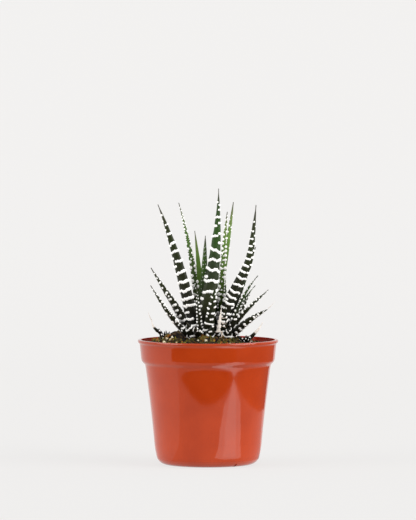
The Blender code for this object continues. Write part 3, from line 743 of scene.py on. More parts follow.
# %% [markdown]
# The skin of a leaf is a function of two parameters: how far along it a point is, from 0 at the root to 1
# at the tip, and how far around, where the first half turn is the back and the second the inner face.

# %% The bare skin of a leaf
TAPER_FROM = 0.34
GRID = 0.34  # distance between points of a skin in millimetres


def leaf_width(leaf, share):
    """Full width at first, then (1 - share) ** taper, rounded where the two meet: f / (1 + f^4)^(1/4)."""

    def rounded_fall(at):
        fall = ((1.0 - at) / (1.0 - TAPER_FROM)) ** leaf.taper
        return fall / (1.0 + fall**4.0) ** 0.25

    return np.maximum(leaf.width * rounded_fall(share) / rounded_fall(0.0), 0.5)


def leaf_line(leaf, share):
    """Middles and directions at these shares: the direction is sin(lean) along the heading plus cos(lean)
    upwards, and its running sum over 400 equal steps is the middle line."""
    steps = np.linspace(0.0, 1.0, 401)
    lean = np.radians(np.interp(steps, np.linspace(0.0, 1.0, len(leaf.lean)), leaf.lean))
    heading = math.radians(leaf.heading)
    along = np.stack([np.sin(lean) * math.cos(heading), np.sin(lean) * math.sin(heading), np.cos(lean)], -1)
    moved = np.cumsum((along[1:] + along[:-1]) * (leaf.length / 800.0), axis=0)
    middle = np.array(leaf.root) + np.vstack([np.zeros(3), moved])
    pick = [np.stack([np.interp(share, steps, line[:, k]) for k in range(3)], -1) for line in (middle, along)]
    return pick[0], pick[1] / np.linalg.norm(pick[1], axis=-1, keepdims=True)


def leaf_skin(leaf, share, around):
    """middle + side * half width * cos(around) + back * depth, where depth is a bulge of 0.38 of the width
    on the back and a thin curve on the inner face. share has one axis, around one or two."""
    middle, along = leaf_line(leaf, share)
    facing = np.array([math.cos(math.radians(leaf.face)), math.sin(math.radians(leaf.face)), 0.0])
    back = facing - along * (along @ facing)[:, None]
    back /= np.linalg.norm(back, axis=1, keepdims=True)
    side = np.cross(back, along)
    half = leaf_width(leaf, share)[:, None] / 2.0
    if leaf.marks == "dry":  # a withered leaf is thin and its edge is wavy
        half = half * (0.75 + 0.16 * np.sin(31.0 * share + 1.0) + 0.14 * np.sin(83.0 * share))[:, None]
    rise = np.sin(around)
    thin = 0.45 if leaf.marks == "dry" else 1.0
    bulge = thin * (0.76 * half + 0.25) * np.clip(rise, 0.0, None) ** 0.85
    flat = thin * (0.1 * half + 0.3 * np.minimum(half, 1.0)) * np.clip(-rise, 0.0, None) ** 0.7
    across = half * np.cos(around)
    return middle[:, None] + side[:, None] * across[..., None] + back[:, None] * (bulge - flat)[..., None]


tips = [leaf_line(leaf, np.array([1.0]))[0][0, 2] for leaves in HEADS.values() for leaf in leaves]
print("highest tip:", round(max(tips), 1), "mm")

# %% [markdown]
# The white marks are tubercles, little pearls of hard tissue. Side by side they run together into wavy
# bands across the back. Nearer the tip there is room only for one or two, left and right by turns. Every
# pearl is a round cap on the skin, and where caps overlap the higher one wins.

# %% Where the pearls sit


class Pearls:
    """Places (share along, angle around) and radii of the pearls of one leaf, drawn one after another."""

    def __init__(self, leaf, rng):
        self.leaf = leaf
        self.rng = rng
        self.share, self.around, self.radius = [], [], []

    def width(self, distance):
        """Width of the leaf here."""
        return float(leaf_width(self.leaf, distance / self.leaf.length))

    def size(self, distance):
        """Usual radius here: it grows with the leaf's width, and is smaller near the root."""
        return (0.6 + 0.056 * self.width(distance)) * min(0.66 + distance / 60.0, 1.0)

    def seen_ring(self, distance):
        """The skin here, seen from the front: angles around, places across the leaf's direction, distances
        towards the back, and that direction."""
        around = np.arange(96) * math.tau / 96.0
        share = np.array([distance / self.leaf.length])
        ring, along = leaf_skin(self.leaf, share, around)[0], leaf_line(self.leaf, share)[1][0]
        return around, ring[:, 0] * along[2] - ring[:, 2] * along[0], ring[:, 1], along

    def seen_width(self, distance):
        """Width of the outline here, seen from the front."""
        _, across, _, along = self.seen_ring(distance)
        return float(np.ptp(across) / math.hypot(along[0], along[2]))

    def seen(self, distance, x):
        """The angle around of the front-most point at x across the leaf's outline, seen from the front. x is
        0 at the upper or left edge and 1 at the other."""
        around, across, depth, along = self.seen_ring(distance)
        across = (across - across.min()) / np.ptp(across)
        if along[0] < 0.0:
            across = 1.0 - across
        return around[np.argmin(40.0 * np.abs(across - x) + depth)]

    def add(self, distance, around, radius):
        """Adds one pearl, or one for each angle around."""
        shape = np.shape(around)
        self.share.extend(np.broadcast_to(distance / self.leaf.length, shape).ravel())
        self.around.extend(np.ravel(around))
        self.radius.extend(np.broadcast_to(radius, shape).ravel())

    def row(self, distance, start, end, slant=0.0, wave=0.0, phase=0.0, scale=1.0):
        """Touching pearls across the back from start to end, seen from behind: x = (1 - cos angle) / 2 runs
        from 0 to 1. Their height is distance + slant (x - 0.5) + wave cos(3 pi x + 2 pi phase)."""
        radius = scale * self.size(distance)
        low, high = np.arccos(1.0 - 2.0 * np.clip((start, end), 0.0, 1.0))
        count = 1 + int(round(0.42 * self.width(distance) * (high - low) / (1.15 * radius)))
        around = np.linspace(low, high, count) if count > 1 else np.array([(low + high) / 2])
        x = (1.0 - np.cos(around)) / 2.0
        height = slant * (x - 0.5) + wave * np.cos(3 * math.pi * x + math.tau * phase)
        jitter = self.rng.normal(0.0, 0.09, count)
        self.add(distance + height + jitter, around, radius * self.rng.uniform(0.84, 1.14, count))


# %% [markdown]
# The tall leaves turn their backs to the viewer, so their patterns are laid out across the back: rows that
# were set one by one, whole bands and notches, pearls down the edges, columns, or loose groups.

# %% Patterns across the back


def set_rows(pearls):
    """The rows that the leaf brings with it, a little finer on the narrower leaves."""
    for row in pearls.leaf.rows:
        pearls.row(*row, scale=1.0 if pearls.leaf.width > 9.0 else 0.84)


def random_row(pearls, distance, start, end, scale=1.0):
    """A row with a random slant and wave, small on narrow leaves."""
    reach = min(pearls.width(distance) / 6.0, 1.4)
    slant, wave = pearls.rng.normal(0.0, 0.7) * reach, pearls.rng.uniform(0.2, 0.7) * reach
    pearls.row(distance, start, end, slant, wave, pearls.rng.uniform(), scale)


def band_pearls(pearls, first, spacing, full=4.8):
    """Full bands while the leaf is wider than full, then notches from both edges by turns, and single pearls
    at the tip."""
    leaf, rng = pearls.leaf, pearls.rng
    distance = first
    while distance < 0.94 * leaf.length:
        width = pearls.width(distance)
        step = spacing * (0.55 + 0.45 * min(width / 8.0, 1.0)) * rng.uniform(0.9, 1.1)
        if width > full and rng.uniform() < 0.8:
            random_row(pearls, distance, 0.0, 1.0)
        elif width > 1.7:
            left, right = rng.uniform(0.28, 0.5, 2)
            random_row(pearls, distance, 0.0, left)
            random_row(pearls, distance + step * rng.uniform(0.1, 0.55), 1.0 - right, 1.0)
        else:
            edge = math.pi * (0.08 + 0.84 * rng.integers(2))
            pearls.add(distance, edge, 0.8 * pearls.size(distance))
        distance += step


def edge_pearls(pearls, first, spacing, scale, middles):
    """Single pearls down both edges. middles is the chance of one more on the back and one on the inner
    face beside each of them."""
    leaf, rng = pearls.leaf, pearls.rng
    for edge in (0.0, math.pi):
        distance = first + rng.uniform(0, spacing)
        while distance < 0.9 * leaf.length:
            radius = scale * pearls.size(distance)
            pearls.add(distance, edge + rng.uniform(-0.3, 0.3), radius)
            if rng.uniform() < middles and pearls.width(distance) > 2.4:
                pearls.add(distance + 0.5 * spacing, rng.uniform(0.3, 0.7) * math.pi, radius)
                pearls.add(distance + 0.4 * spacing, rng.uniform(1.25, 1.75) * math.pi, 0.9 * radius)
            distance += spacing * rng.uniform(0.75, 1.25)


def column_pearls(pearls, places, spacing, radius, beyond):
    """Columns of single pearls at these degrees around, staggered by half a spacing. They end by the share
    beyond past where the leaf is dry."""
    leaf, rng = pearls.leaf, pearls.rng
    for k, place in enumerate(places):
        distance = 1.5 + spacing * (k % 2) / 2
        while distance < (leaf.dry_from + beyond) * leaf.length:
            shrink = min(pearls.width(distance) / 2.4, 1.0)
            size = radius * shrink * rng.uniform(0.85, 1.12)
            pearls.add(distance, math.radians(place) + rng.uniform(-0.15, 0.15), size)
            distance += spacing * rng.uniform(0.85, 1.15)


def blotch_pearls(pearls, spacing):
    """Irregular groups of one to three pearls, in rows across the back."""
    leaf, rng = pearls.leaf, pearls.rng
    distance = 1.5
    while distance < 0.92 * leaf.length:
        step = 3.6 / max(pearls.width(distance), 2.0)
        for start in np.arange(rng.uniform(-0.1, 0.25), 0.95, step):
            end = start + step * rng.choice([0.0, 0.2, 0.5])
            random_row(pearls, distance + rng.normal(0, 0.5), start, end, rng.uniform(0.85, 1.25))
        distance += spacing * rng.uniform(0.85, 1.15)


# %% [markdown]
# The low leaves lean to the sides and show their edge. What counts there is how the pearls bite into the
# outline, so these patterns are laid out across the leaf as it is seen from the front.

# %% Patterns across the outline


def chain_pearls(pearls, spacing, bites, middles):
    """Pearls that bite into both edges of the outline by turns, so that a wavy dark core is left. bites holds
    the share of the width that a pearl takes at the upper and at the lower edge."""
    leaf, rng = pearls.leaf, pearls.rng
    for edge, bite in enumerate(bites):
        distance = 2.0 + 0.5 * spacing * edge
        while distance < 0.97 * leaf.length:
            width = pearls.seen_width(distance)
            deep = 1.6 if rng.uniform() < 0.42 else 0.8
            radius = deep * (0.12 + bite * width)
            pearls.add(distance, pearls.seen(distance, abs(edge - 0.3 * radius / width)), radius)
            closer = 0.4 + 0.6 * min(width / 3.5, 1.0)
            distance += closer * deep * spacing * rng.uniform(0.85, 1.15)
    for distance in np.arange(3.0 + rng.uniform(0, 2), 0.75 * leaf.length, 1.3 * spacing):
        if pearls.seen_width(distance) > 2.6 and rng.uniform() < middles:
            pearls.add(distance, pearls.seen(distance, rng.uniform(0.4, 0.6)), rng.uniform(0.42, 0.6))


def hook_pearls(pearls, spacing):
    """Rows that run in from the lower edge and stop short of the upper one, with single pearls between."""
    leaf, rng = pearls.leaf, pearls.rng
    distance = 3.0
    while distance < 0.95 * leaf.length:
        width = pearls.seen_width(distance)
        step = (0.5 + 0.5 * min(width / 3.5, 1.0)) * spacing * rng.uniform(0.85, 1.15)
        radius = min(0.26 + 0.17 * width, 0.85)
        for x in np.arange(1.0, rng.uniform(0.2, 0.5), -1.1 * radius / width):
            pearls.add(distance + rng.normal(0.0, 0.15), pearls.seen(distance, x), radius)
        pearls.add(distance + rng.uniform(0.3, 0.6) * step, pearls.seen(distance, 0.0), 0.8 * radius)
        if width > 2.4 and rng.uniform() < 0.5:
            between = distance + 0.5 * step
            pearls.add(between, pearls.seen(between, rng.uniform(0.45, 0.7)), 0.6)
        distance += step


# %% [markdown]
# One table ties the name of a pattern to its function and numbers: where it starts, its spacing in
# millimetres, and how large or deep its pearls are. Plain and dry leaves have none.

# %% The patterns by name
PATTERNS = {
    "rows": (set_rows,),
    "bands": (band_pearls, 2.6, 5.2),
    "tight": (band_pearls, 2.6, 3.8),
    "worn": (band_pearls, 3.4, 5.6, 20.0),
    "edges": (edge_pearls, 2.5, 3.5, 1.1, 0.3),
    "fresh": (edge_pearls, 9.0, 5.0, 0.9, 0.15),
    "columns": (column_pearls, (50.4, 129.6), 2.3, 0.66, 0.02),
    "centre": (column_pearls, (270.0, 64.8, 115.2), 2.6, 0.5, 0.02),
    "pup": (column_pearls, (27.0, 153.0), 2.6, 0.6, -0.05),
    "blotches": (blotch_pearls, 3.8),
    "chain": (chain_pearls, 2.1, (0.17, 0.17), 0.5),
    "thin": (chain_pearls, 2.0, (0.14, 0.12), 0.0),
    "hooks": (hook_pearls, 4.1),
}


def pearls_of(leaf, rng):
    """All pearls of a leaf as three arrays: share along, angle around, radius."""
    pearls = Pearls(leaf, rng)
    if leaf.marks in PATTERNS:
        lay_out, *numbers = PATTERNS[leaf.marks]
        lay_out(pearls, *numbers)
    return [np.array(column) for column in (pearls.share, pearls.around, pearls.radius)]


print("patterns:", ", ".join(PATTERNS))

# %% [markdown]
# A finished leaf is its bare skin moved outwards, by the pearls and by a faint unevenness. The same caps that
# lift the skin are stored on its points, so the white lies exactly on the raised pearls.

# %% From pearls to a finished leaf
PEARL_HEIGHT = 0.68  # share of a pearl's radius by which it stands out
WOBBLE = 0.06  # millimetres by which the skin is uneven
FAINT = 0.185  # the highest cap on the young middle leaves, whose pearls show only as pale dots


def pearl_caps(leaf, skin, share, pearls):
    """For every point of the skin, the highest cap 1 - (distance / radius)^2 and the highest lift of a pearl.
    Only the rings within reach of a pearl are looked at, and each pearl is one step on whole arrays."""
    along, around, radius = pearls
    caps, lift = np.zeros(skin.shape[:2]), np.zeros(skin.shape[:2])
    centres = leaf_skin(leaf, along, around[:, None])[:, 0] if len(along) else []
    for centre, at, size in zip(centres, along, radius):
        reach = (size + 0.6) / leaf.length
        low, high = np.searchsorted(share, (at - reach, at + reach))
        near = skin[low:high]
        cap = np.clip(1.0 - ((near - centre) ** 2).sum(-1) / size**2, 0.0, None)
        caps[low:high] = np.maximum(caps[low:high], cap)
        lift[low:high] = np.maximum(lift[low:high], PEARL_HEIGHT * size * cap**0.8)
    return caps, lift


def leaf_mesh(leaf, rng):
    """Points, faces and stored numbers of one leaf: its skin, moved outwards by its pearls and a wobble."""
    rings = max(int(leaf.length / GRID), 16)
    sides = int(np.clip(2.45 * leaf.width / GRID, 20, 84))
    share = np.linspace(0.0, 1.0, rings + 1)[:-1]
    around = np.arange(sides) * math.tau / sides
    skin = leaf_skin(leaf, share, np.broadcast_to(around, (rings, sides)))
    caps, lift = pearl_caps(leaf, skin, share, pearls_of(leaf, rng))
    across = np.roll(skin, -1, 1) - np.roll(skin, 1, 1)
    outward = np.cross(across, np.gradient(skin, axis=0))
    outward /= np.linalg.norm(outward, axis=-1, keepdims=True) + 1e-9
    wobble = WOBBLE * ripples(skin, 5.0, int(rng.integers(1000)))
    wobble = wobble * np.clip(leaf_width(leaf, share) / 4, 0, 1)[:, None]
    skin = skin + outward * (lift + wobble)[..., None]
    middle, along = leaf_line(leaf, np.array([0.0, 1.0]))
    ends = [middle[0] - 0.4 * along[0], middle[1]]
    share = np.append(np.repeat(share, sides), [0.0, 1.0])
    inner = np.append(np.tile(0.5 - 0.5 * np.sin(around), rings), [0.5, 0.5])
    # A tip that dried up early ends sharply, others fade. A pup's dry tip keeps some of its grey.
    dry_over = 0.12 if leaf.dry_from < 0.8 else 0.24
    driest = 0.82 if leaf.marks == "pup" else 1.0
    if leaf.marks == "centre":
        caps = np.minimum(caps, FAINT)
    values = {
        "pearl": np.append(caps.ravel(), [0.0, 0.0]),
        # Short leaves reach only the dark start of each ramp, so the foot of a head gets painted shade.
        "along": share * min(leaf.length / 45.0, 1.0),
        "green": np.clip(leaf.fresh + 0.15 * inner * (leaf.fresh > 0.15), 0.0, 1.0),
        "dry": np.clip((share - leaf.dry_from) / dry_over, 0.0, driest),
    }
    return np.concatenate([skin.reshape(-1, 3), ends]), skin_faces(rings, sides), values


# %% [markdown]
# Leaf skin is a thin wax over green tissue: darker and browner where the leaf is old, fresher on the inner
# faces of young leaves, grey-brown at the dried tip. Painted shade makes every leaf nearly black at its root.
# The pearls are dense white tissue with no pigment, so a stored number says where they are and a narrow step
# gives them a clean edge.

# %% Waxy leaf skin with white pearls
leaf_skin_material, tree, shader = new_material("waxy_leaf_with_pearls", 0.42, ior=1.25)
place = add_node(tree, "TexCoord").outputs["Object"]
names = ("pearl", "along", "green", "dry")
stored = {name: add_node(tree, "Attribute", {"attribute_name": name}).outputs["Fac"] for name in names}
# The green is mottled in patches of about 4 mm; painted shade darkens each leaf towards its root.
mottle = add_node(tree, "TexNoise", {"Scale": 260.0, "Detail": 3.0, "Roughness": 0.6}, {"Vector": place})
mottled = {0: mottle.outputs["Fac"], 2: stored["along"]}
shifted = add_node(tree, "Math", {"operation": "MULTIPLY_ADD", 1: 0.22}, mottled)
lowered = add_node(tree, "Math", {"operation": "SUBTRACT", 1: 0.11}, {0: shifted.outputs["Value"]})


def blend(share, low, high):
    """Mixes two colours by share. low and high are sockets, or colours if they are strings."""
    links = {place: colour for place, colour in ((6, low), (7, high)) if not isinstance(colour, str)}
    settings = {place: linear(colour) for place, colour in ((6, low), (7, high)) if isinstance(colour, str)}
    return add_node(tree, "Mix", {"data_type": "RGBA", **settings}, {0: share, **links}).outputs[2]


def part_of(source, low, high, smooth=False):
    """Where source stands between low and high, from 0 to 1."""
    settings = {"From Min": low, "From Max": high, "interpolation_type": "SMOOTHSTEP" if smooth else "LINEAR"}
    return add_node(tree, "MapRange", settings, {"Value": source}).outputs["Result"]


# Root to tip, with painted shade near the root: an old leaf, a grown one and a young one.
LEAF_GREENS_AND_ROOT_SHADE = (
    {0.0: "#060604", 0.1: "#0D0E09", 0.3: "#1E1F14", 0.5: "#242714", 0.75: "#272C14", 1.0: "#393929"},
    {0.0: "#070904", 0.1: "#171A0D", 0.2: "#2E3119", 0.48: "#28341F", 0.7: "#2C4C18", 1.0: "#303E28"},
    {0.0: "#0F1305", 0.25: "#2C3F0A", 0.5: "#4D6822", 0.75: "#618236", 1.0: "#6C7448"},
)
old, grown, young = (
    set_stops(add_node(tree, "ValToRGB", links={"Fac": lowered.outputs["Value"]}), stops).outputs["Color"]
    for stops in LEAF_GREENS_AND_ROOT_SHADE
)
aged = blend(part_of(stored["green"], 0.0, 0.5), old, grown)
green = blend(part_of(stored["green"], 0.5, 1.0), aged, young)
straw = blend(mottle.outputs["Fac"], "#F2E4D2", "#FFFCF8")
dry_colour = blend(part_of(stored["dry"], 0.5, 0.9), "#4A463C", straw)
flesh = blend(part_of(stored["dry"], 0.0, 0.5), green, dry_colour)
white = part_of(stored["pearl"], 0.1, 0.28, smooth=True)
tree.links.new(blend(white, flesh, "#FBFAF6"), shader.inputs["Base Color"])
print(leaf_skin_material.name, "has", len(tree.nodes), "nodes")

# %% [markdown]
# Every leaf that shows is a piece of its own, so that it could be moved or left out. The short ones at the
# foot of a head are joined into one. Each leaf has its own random numbers, from one seed for the plant.

# %% Grow every leaf
BASAL = 17.0  # leaves shorter than this are joined into one piece a head
head_rng = np.random.default_rng(61)
leaf_faces = 0
for head, leaves in HEADS.items():
    short = []
    for k, leaf in enumerate(leaves):
        shape = leaf_mesh(leaf, np.random.default_rng(int(head_rng.integers(1 << 30))))
        leaf_faces += len(shape[1])
        if leaf.length < BASAL:
            short.append(shape)
        else:
            make_piece(f"{head}_leaf_{k:02d}", shape, leaf_skin_material, head)
    make_piece(f"{head}_base", join(short), leaf_skin_material, head)
print("leaf faces:", leaf_faces)

# %% [markdown]
# ## Between the leaves
# Where leaves meet there is a short woody stem, nearly hidden. Its near-black colour is painted shade,
# for the deep shade between the leaf bases. An uneven ball whose colour has a fine grain is enough for it.

# %% Stems
CROWNS = {  # head: centre and radii
    "rosette_left": ((-5.6, -3.6, 79.0), (7.4, 7.2, 7.4)),
    "rosette_right": ((9.6, 3.2, 79.0), (7.4, 7.2, 7.4)),
    "offset_left": ((-27.0, -4.5, 79.5), (2.5, 2.4, 3.4)),
    "offset_right": ((23.4, -9.0, 78.6), (2.5, 2.4, 3.0)),
}
stem_material, tree, shader = new_material("stem_in_painted_shade", 0.7, ior=1.3)
place = add_node(tree, "TexCoord").outputs["Object"]
grain = add_node(tree, "TexNoise", {"Scale": 900.0, "Detail": 4.0}, {"Vector": place})  # about 1 mm
stem_colour = add_node(tree, "ValToRGB", links={"Fac": grain.outputs["Fac"]})
# Near-black stops with a fine grain: painted shade between the leaf bases.
set_stops(stem_colour, {0.35: "#0A0906", 0.55: "#1B1A10", 0.75: "#3A2E1E"})
tree.links.new(stem_colour.outputs["Color"], shader.inputs["Base Color"])
for seed, (head, (centre, radii)) in enumerate(CROWNS.items(), 3):
    stem_shape = (lump(centre, radii, seed, 0.07, 18, 28), skin_faces(18, 28), {})
    make_piece(f"{head}_stem", stem_shape, stem_material, head)
print("stems:", len(CROWNS))

# %% [markdown]
# Old leaves dry out at the tip first, into pale, papery threads that curl away. Where an old leaf broke off,
# a few short ones stand beside the stem. They are thin tubes, like the fibres in the mix.

# %% Dry threads
THREAD_STEPS, THREAD_SIDES = 14, 6
thread_material, tree, shader = new_material("dried_leaf_threads", 0.6)
place = add_node(tree, "TexCoord").outputs["Object"]
shade = add_node(tree, "TexNoise", {"Scale": 700.0, "Detail": 2.0}, {"Vector": place})  # about 1.4 mm
thread_colour = add_node(tree, "ValToRGB", links={"Fac": shade.outputs["Fac"]})
set_stops(thread_colour, {0.35: "#A98E72", 0.5: "#D8CBBC", 0.7: "#EFE6DC"})
tree.links.new(thread_colour.outputs["Color"], shader.inputs["Base Color"])


def thread(start, steps, radius):
    """A thin dry tube that bends after each step and tapers to 0.3 of its radius."""
    knots = np.array(start) + np.vstack([np.zeros(3), np.cumsum(steps, axis=0)])
    t = np.linspace(0, len(knots) - 1, THREAD_STEPS)
    path = np.stack([np.interp(t, np.arange(len(knots)), knots[:, k]) for k in range(3)], -1)
    return tube(path, radius * (1.0 - 0.7 * np.linspace(0, 1, THREAD_STEPS)), THREAD_SIDES)


# Each thread is its start, the steps from one bend to the next, and its radius at the start.
THREADS = {
    "rosette_left": [((-9.6, -9.0, 86.0), ((-0.8, -0.6, 1.4), (0.6, -0.2, 1.8), (1.2, 0.0, 0.8)), 0.16)],
    "rosette_right": [
        ((38.3, -12.2, 100.6), ((1.6, -0.4, 1.2), (1.8, -0.2, 2.0), (1.2, 0.0, 1.8)), 0.16),
        ((8.6, -15.6, 94.6), ((1.4, -0.4, -0.1), (1.5, 0.3, 0.5)), 0.3),
        ((8.8, -14.2, 91.4), ((1.6, -0.6, -0.6), (1.2, 0.2, 0.1)), 0.36),
        ((8.9, -13.2, 89.4), ((1.3, -0.6, -0.4), (1.3, 0.0, -0.6)), 0.3),
        ((8.3, -12.2, 85.8), ((0.7, -0.6, -1.4), (-0.3, -0.4, -1.8), (-1.5, 0.2, -0.7)), 0.55),
    ],
    "offset_left": [
        ((-35.8, -6.6, 92.4), ((-1.0, -0.2, 1.6), (-0.9, 0.0, 2.0), (-0.5, 0.0, 1.8)), 0.26),
        ((-28.4, -6.4, 80.2), ((-0.6, -1.0, -0.6), (0.4, -1.2, -1.2)), 0.6),
    ],
    "offset_right": [((26.4, -10.4, 78.6), ((1.2, -0.4, 0.8), (0.8, -0.2, 0.3)), 0.4)],
}
for head, some in THREADS.items():
    threads = [(thread(*one), skin_faces(THREAD_STEPS, THREAD_SIDES), {}) for one in some]
    make_piece(f"{head}_threads", join(threads), thread_material, head)
print("threads:", sum(map(len, THREADS.values())))

# %% [markdown]
# ## On the mix
# Nothing on the mix is flat: there are crumbs of peat, some of them orange-brown, pale grains of perlite,
# a chip of bark, a round husk, a carpet of moss and loose fibres. Each kind is one piece made of many small
# closed shapes with few faces, put at random or at given places on the mix, and a stored number tints every one
# a little.

# %% Ground material
ground_material, tree, shader = new_material("crumbs_of_peat_and_bark", 0.9, ior=1.35)
tint = add_node(tree, "Attribute", {"attribute_name": "tint"}).outputs["Fac"]
tint_colour = add_node(tree, "ValToRGB", links={"Fac": tint})
dark_tints = {0.0: "#060403", 0.15: "#1D1109", 0.3: "#3B2616", 0.5: "#5F5520"}
set_stops(tint_colour, {**dark_tints, 0.68: "#84490F", 0.8: "#9D6A28", 0.92: "#C4B184", 1.0: "#F0E8CE"})
place = add_node(tree, "TexCoord").outputs["Object"]
speckle = add_node(tree, "TexNoise", {"Scale": 1400.0, "Detail": 3.0}, {"Vector": place})  # about 0.7 mm
levels = {"From Min": 0.3, "From Max": 0.7, "To Min": 0.55, "To Max": 1.15}
level = add_node(tree, "MapRange", levels, {"Value": speckle.outputs["Fac"]}).outputs["Result"]
shaded_links = {0: tint_colour.outputs["Color"], "Scale": level}
shaded = add_node(tree, "VectorMath", {"operation": "SCALE"}, shaded_links)
tree.links.new(shaded.outputs["Vector"], shader.inputs["Base Color"])


def lay_on_mix(name, shape, material=ground_material):
    """A piece that lies on the mix."""
    make_piece(name, shape, material, "soil")


print(ground_material.name, "has", len(tree.nodes), "nodes")

# %% [markdown]
# Crumbs and grains of perlite are uneven balls with few faces. Their random places are even by area, and
# each is sunk by a part of its height, so that it lies in the mix and doesn't float on it.

# %% Crumbs and perlite
FREE_EDGE = SOIL_EDGE - 5.4  # loose grains stay clear of the wall


def ground_places(count, rng, inner=0.0):
    """Random places on the mix, evenly by area: radius = edge sqrt(u), and u starts at inner squared."""
    radius = FREE_EDGE * np.sqrt(rng.uniform(inner**2, 1.0, count))
    turn = rng.uniform(0.0, math.tau, count)
    x, y = radius * np.cos(turn), radius * np.sin(turn)
    return np.stack([x, y, soil_top(x, y)], -1)


def scatter(places, radii, tints, rings, sides, rng, sink=0.25):
    """One uneven ball at each place, with a row of three radii for each, turned by a random angle and sunk
    into the mix by this share of its height."""
    skin = ball(rings, sides)
    rough = 1.0 + 0.16 * rng.normal(size=(len(places), len(skin), 1)).clip(-1.6, 1.6)
    turn = rng.uniform(0.0, math.tau, len(places))
    cos, sin = np.cos(turn)[:, None], np.sin(turn)[:, None]
    points = skin * rough * radii[:, None]
    x, y = points[..., 0] * cos - points[..., 1] * sin, points[..., 0] * sin + points[..., 1] * cos
    lift = (0, 0, 1) * radii[:, None, 2:] * (1 - 2 * sink)
    points = np.stack([x, y, points[..., 2]], -1) + places[:, None] + lift
    one = skin_faces(rings, sides)
    faces = [[i + k * len(skin) for i in face] for k in range(len(places)) for face in one]
    return points.reshape(-1, 3), faces, {"tint": np.repeat(tints, len(skin))}


rng = np.random.default_rng(17)
CRUMBS, PERLITE = 900, 26
sizes = rng.uniform(0.35, 1.15, (CRUMBS, 1)) * rng.uniform(0.7, 1.3, (CRUMBS, 3))
# Six tints from nearly black to orange-brown, and the share of the crumbs that has each of them.
tints = rng.choice([0.05, 0.2, 0.35, 0.5, 0.66, 0.78], CRUMBS, p=[0.18, 0.18, 0.16, 0.2, 0.16, 0.12])
crumb_places = ground_places(CRUMBS, rng)
tints = tints + rng.uniform(-0.05, 0.05, CRUMBS)
# Crumbs under the left head, from x = -15 to -4 mm, are darkened: painted shadow of the plant.
tints = tints * np.interp(crumb_places[:, 0], (-15, -12, -6, -4), (1.0, 0.4, 0.4, 1.0))  # painted shade
lay_on_mix("peat_crumbs", scatter(crumb_places, sizes, tints, 3, 6, rng))

# Six grains have a place of their own: four beside the bark and two by the rim in front.
NEAR_GRAINS = ((-26.2, -15.5), (-24.0, -17.5), (-22.8, -16.5), (-27.8, -19.0), (4.0, -30.0), (19.0, -30.0))
grain_places = ground_places(PERLITE, rng, 0.5)
grain_places[: len(NEAR_GRAINS), :2] = NEAR_GRAINS
grain_places[:, 2] = soil_top(grain_places[:, 0], grain_places[:, 1])
sizes = rng.uniform(0.7, 1.25, (PERLITE, 1)) * rng.uniform(0.8, 1.2, (PERLITE, 3))
lay_on_mix("perlite", scatter(grain_places, sizes, rng.uniform(0.9, 1.0, PERLITE), 5, 8, rng, 0.1))
print("crumbs:", CRUMBS, " perlite:", PERLITE)

# %% [markdown]
# A chip of bark is a split, weathered lump whose tone varies at random, and painted light makes it lighter
# on top. A husk is a smooth round one. Both start as an uneven ball; the bark gets two finer sizes of relief.

# %% Bark and husk
BARK_CENTRE = np.array([-19.7, -14.2, 82.8])
bark_points = lump(BARK_CENTRE, (4.2, 3.6, 3.6), 21, 0.1, 40, 60)
for relief, size, seed in ((0.07, 2.4, 8), (0.035, 1.0, 9)):
    bark_points += (bark_points - BARK_CENTRE) * relief * ripples(bark_points, size, seed, 14)[:, None]
# The top of the chip is tinted lighter: a painted highlight from the light above.
painted_light_on_top = np.clip(bark_points[:, 2] - 84.0, 0.0, 2.0)
bark_tints = np.clip(0.12 + 0.1 * ripples(bark_points, 1.8, 10, 14) + 0.09 * painted_light_on_top, 0.0, 0.36)
lay_on_mix("bark_chip", (bark_points, skin_faces(40, 60), {"tint": bark_tints}))

husk_points = lump((-2.8, -17.0, 81.3), (2.8, 2.6, 2.1), 33, 0.12, 16, 24)
husk_tints = np.clip(0.52 + 0.1 * ripples(husk_points, 1.5, 11), 0.25, 0.66)
lay_on_mix("husk_crumb", (husk_points, skin_faces(16, 24), {"tint": husk_tints}))
print("bark and husk:", len(bark_points), "and", len(husk_points), "points")

# %% [markdown]
# Moss grows in tufts of short blades. A blade is a three-sided spike of four points, so thousands of them
# cost little, and its tip is lighter than its foot. It is darker where the plant shades the mix.

# %% Moss
moss_material, tree, shader = new_material("moss", 0.7, ior=1.35)
tint = add_node(tree, "Attribute", {"attribute_name": "tint"}).outputs["Fac"]
moss_colour = add_node(tree, "ValToRGB", links={"Fac": tint})
set_stops(moss_colour, {0.0: "#2E3006", 0.5: "#80771A", 0.8: "#B4A63A", 1.0: "#D4C66E"})
tree.links.new(moss_colour.outputs["Color"], shader.inputs["Base Color"])

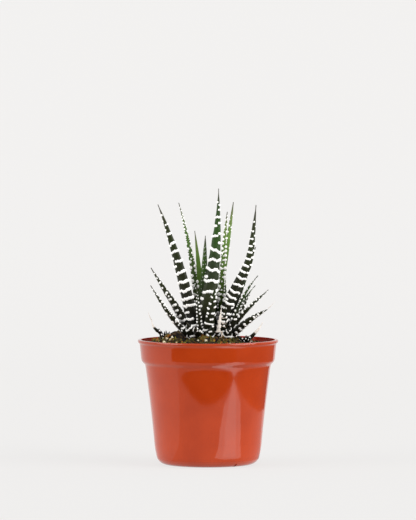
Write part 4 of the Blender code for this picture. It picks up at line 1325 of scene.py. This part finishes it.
TUFTS, BLADES = 240, 13
BLADE_HEIGHT, BLADE_RADIUS = 1.2, 0.24
tuft = np.repeat(ground_places(TUFTS, rng, 0.2), BLADES, axis=0)
foot = tuft[:, :2] + rng.normal(0.0, 0.75, (TUFTS * BLADES, 2))
foot *= np.minimum(1.0, (SOIL_EDGE - 1.0) / np.linalg.norm(foot, axis=1))[:, None]
foot = np.column_stack([foot, soil_top(foot[:, 0], foot[:, 1]) - 0.2])
tip = foot + rng.normal(0.0, 0.5, foot.shape) + (0.0, 0.0, BLADE_HEIGHT)
turn = rng.uniform(0, math.tau, (len(foot), 1)) + np.arange(3) * math.tau / 3
ring = foot[:, None] + BLADE_RADIUS * np.stack([np.cos(turn), np.sin(turn), 0 * turn], -1)
blade_points = np.concatenate([ring, tip[:, None]], 1).reshape(-1, 3)
shape = np.array([(0, 2, 1), (0, 1, 3), (1, 2, 3), (2, 0, 3)])
blade_faces = (np.arange(len(foot))[:, None, None] * 4 + shape).reshape(-1, 3).tolist()
tuft_tints = np.repeat(rng.uniform(0, 1, TUFTS), BLADES) * 0.7
light = np.interp(foot[:, 0], (-15, -12, -5, -2, 8, 12), (1, 0.25, 0.25, 1, 1, 0.35))
blade_tints = (np.repeat(tuft_tints, 4) + np.tile([0, 0, 0, 0.3], len(foot))) * np.repeat(light, 4)
lay_on_mix("moss", (blade_points, blade_faces, {"tint": blade_tints}), moss_material)
print("moss blades:", len(foot))

# %% [markdown]
# Loose fibres of peat lie across the crumbs. Each one is a thin tube through a few points just above the
# mix.

# %% Fibres
FIBRES, FIBRE_KNOTS, FIBRE_SIDES = 60, 5, 5
fibres = []
for start in ground_places(FIBRES, rng, 0.15):
    heading = rng.uniform(0, math.tau)
    straight = rng.uniform(0.8, 2.2) * np.array([math.cos(heading), math.sin(heading), 0.0])
    steps = straight + rng.normal(0, 0.5, (FIBRE_KNOTS - 1, 3))
    path = start + np.vstack([np.zeros(3), np.cumsum(steps, axis=0)])
    path[:, :2] *= np.minimum(1.0, (SOIL_EDGE - 1.2) / np.linalg.norm(path[:, :2], axis=1))[:, None]
    path[:, 2] = soil_top(path[:, 0], path[:, 1]) + rng.uniform(0.1, 0.9, FIBRE_KNOTS)
    radii = np.full(FIBRE_KNOTS, rng.uniform(0.1, 0.22))
    fibres.append((tube(path, radii, FIBRE_SIDES), skin_faces(FIBRE_KNOTS, FIBRE_SIDES), {}))
fibre_points, fibre_faces, _ = join(fibres)
lay_on_mix("fibres", (fibre_points, fibre_faces, {"tint": np.full(len(fibre_points), 0.6)}))
print("fibres:", len(fibres))
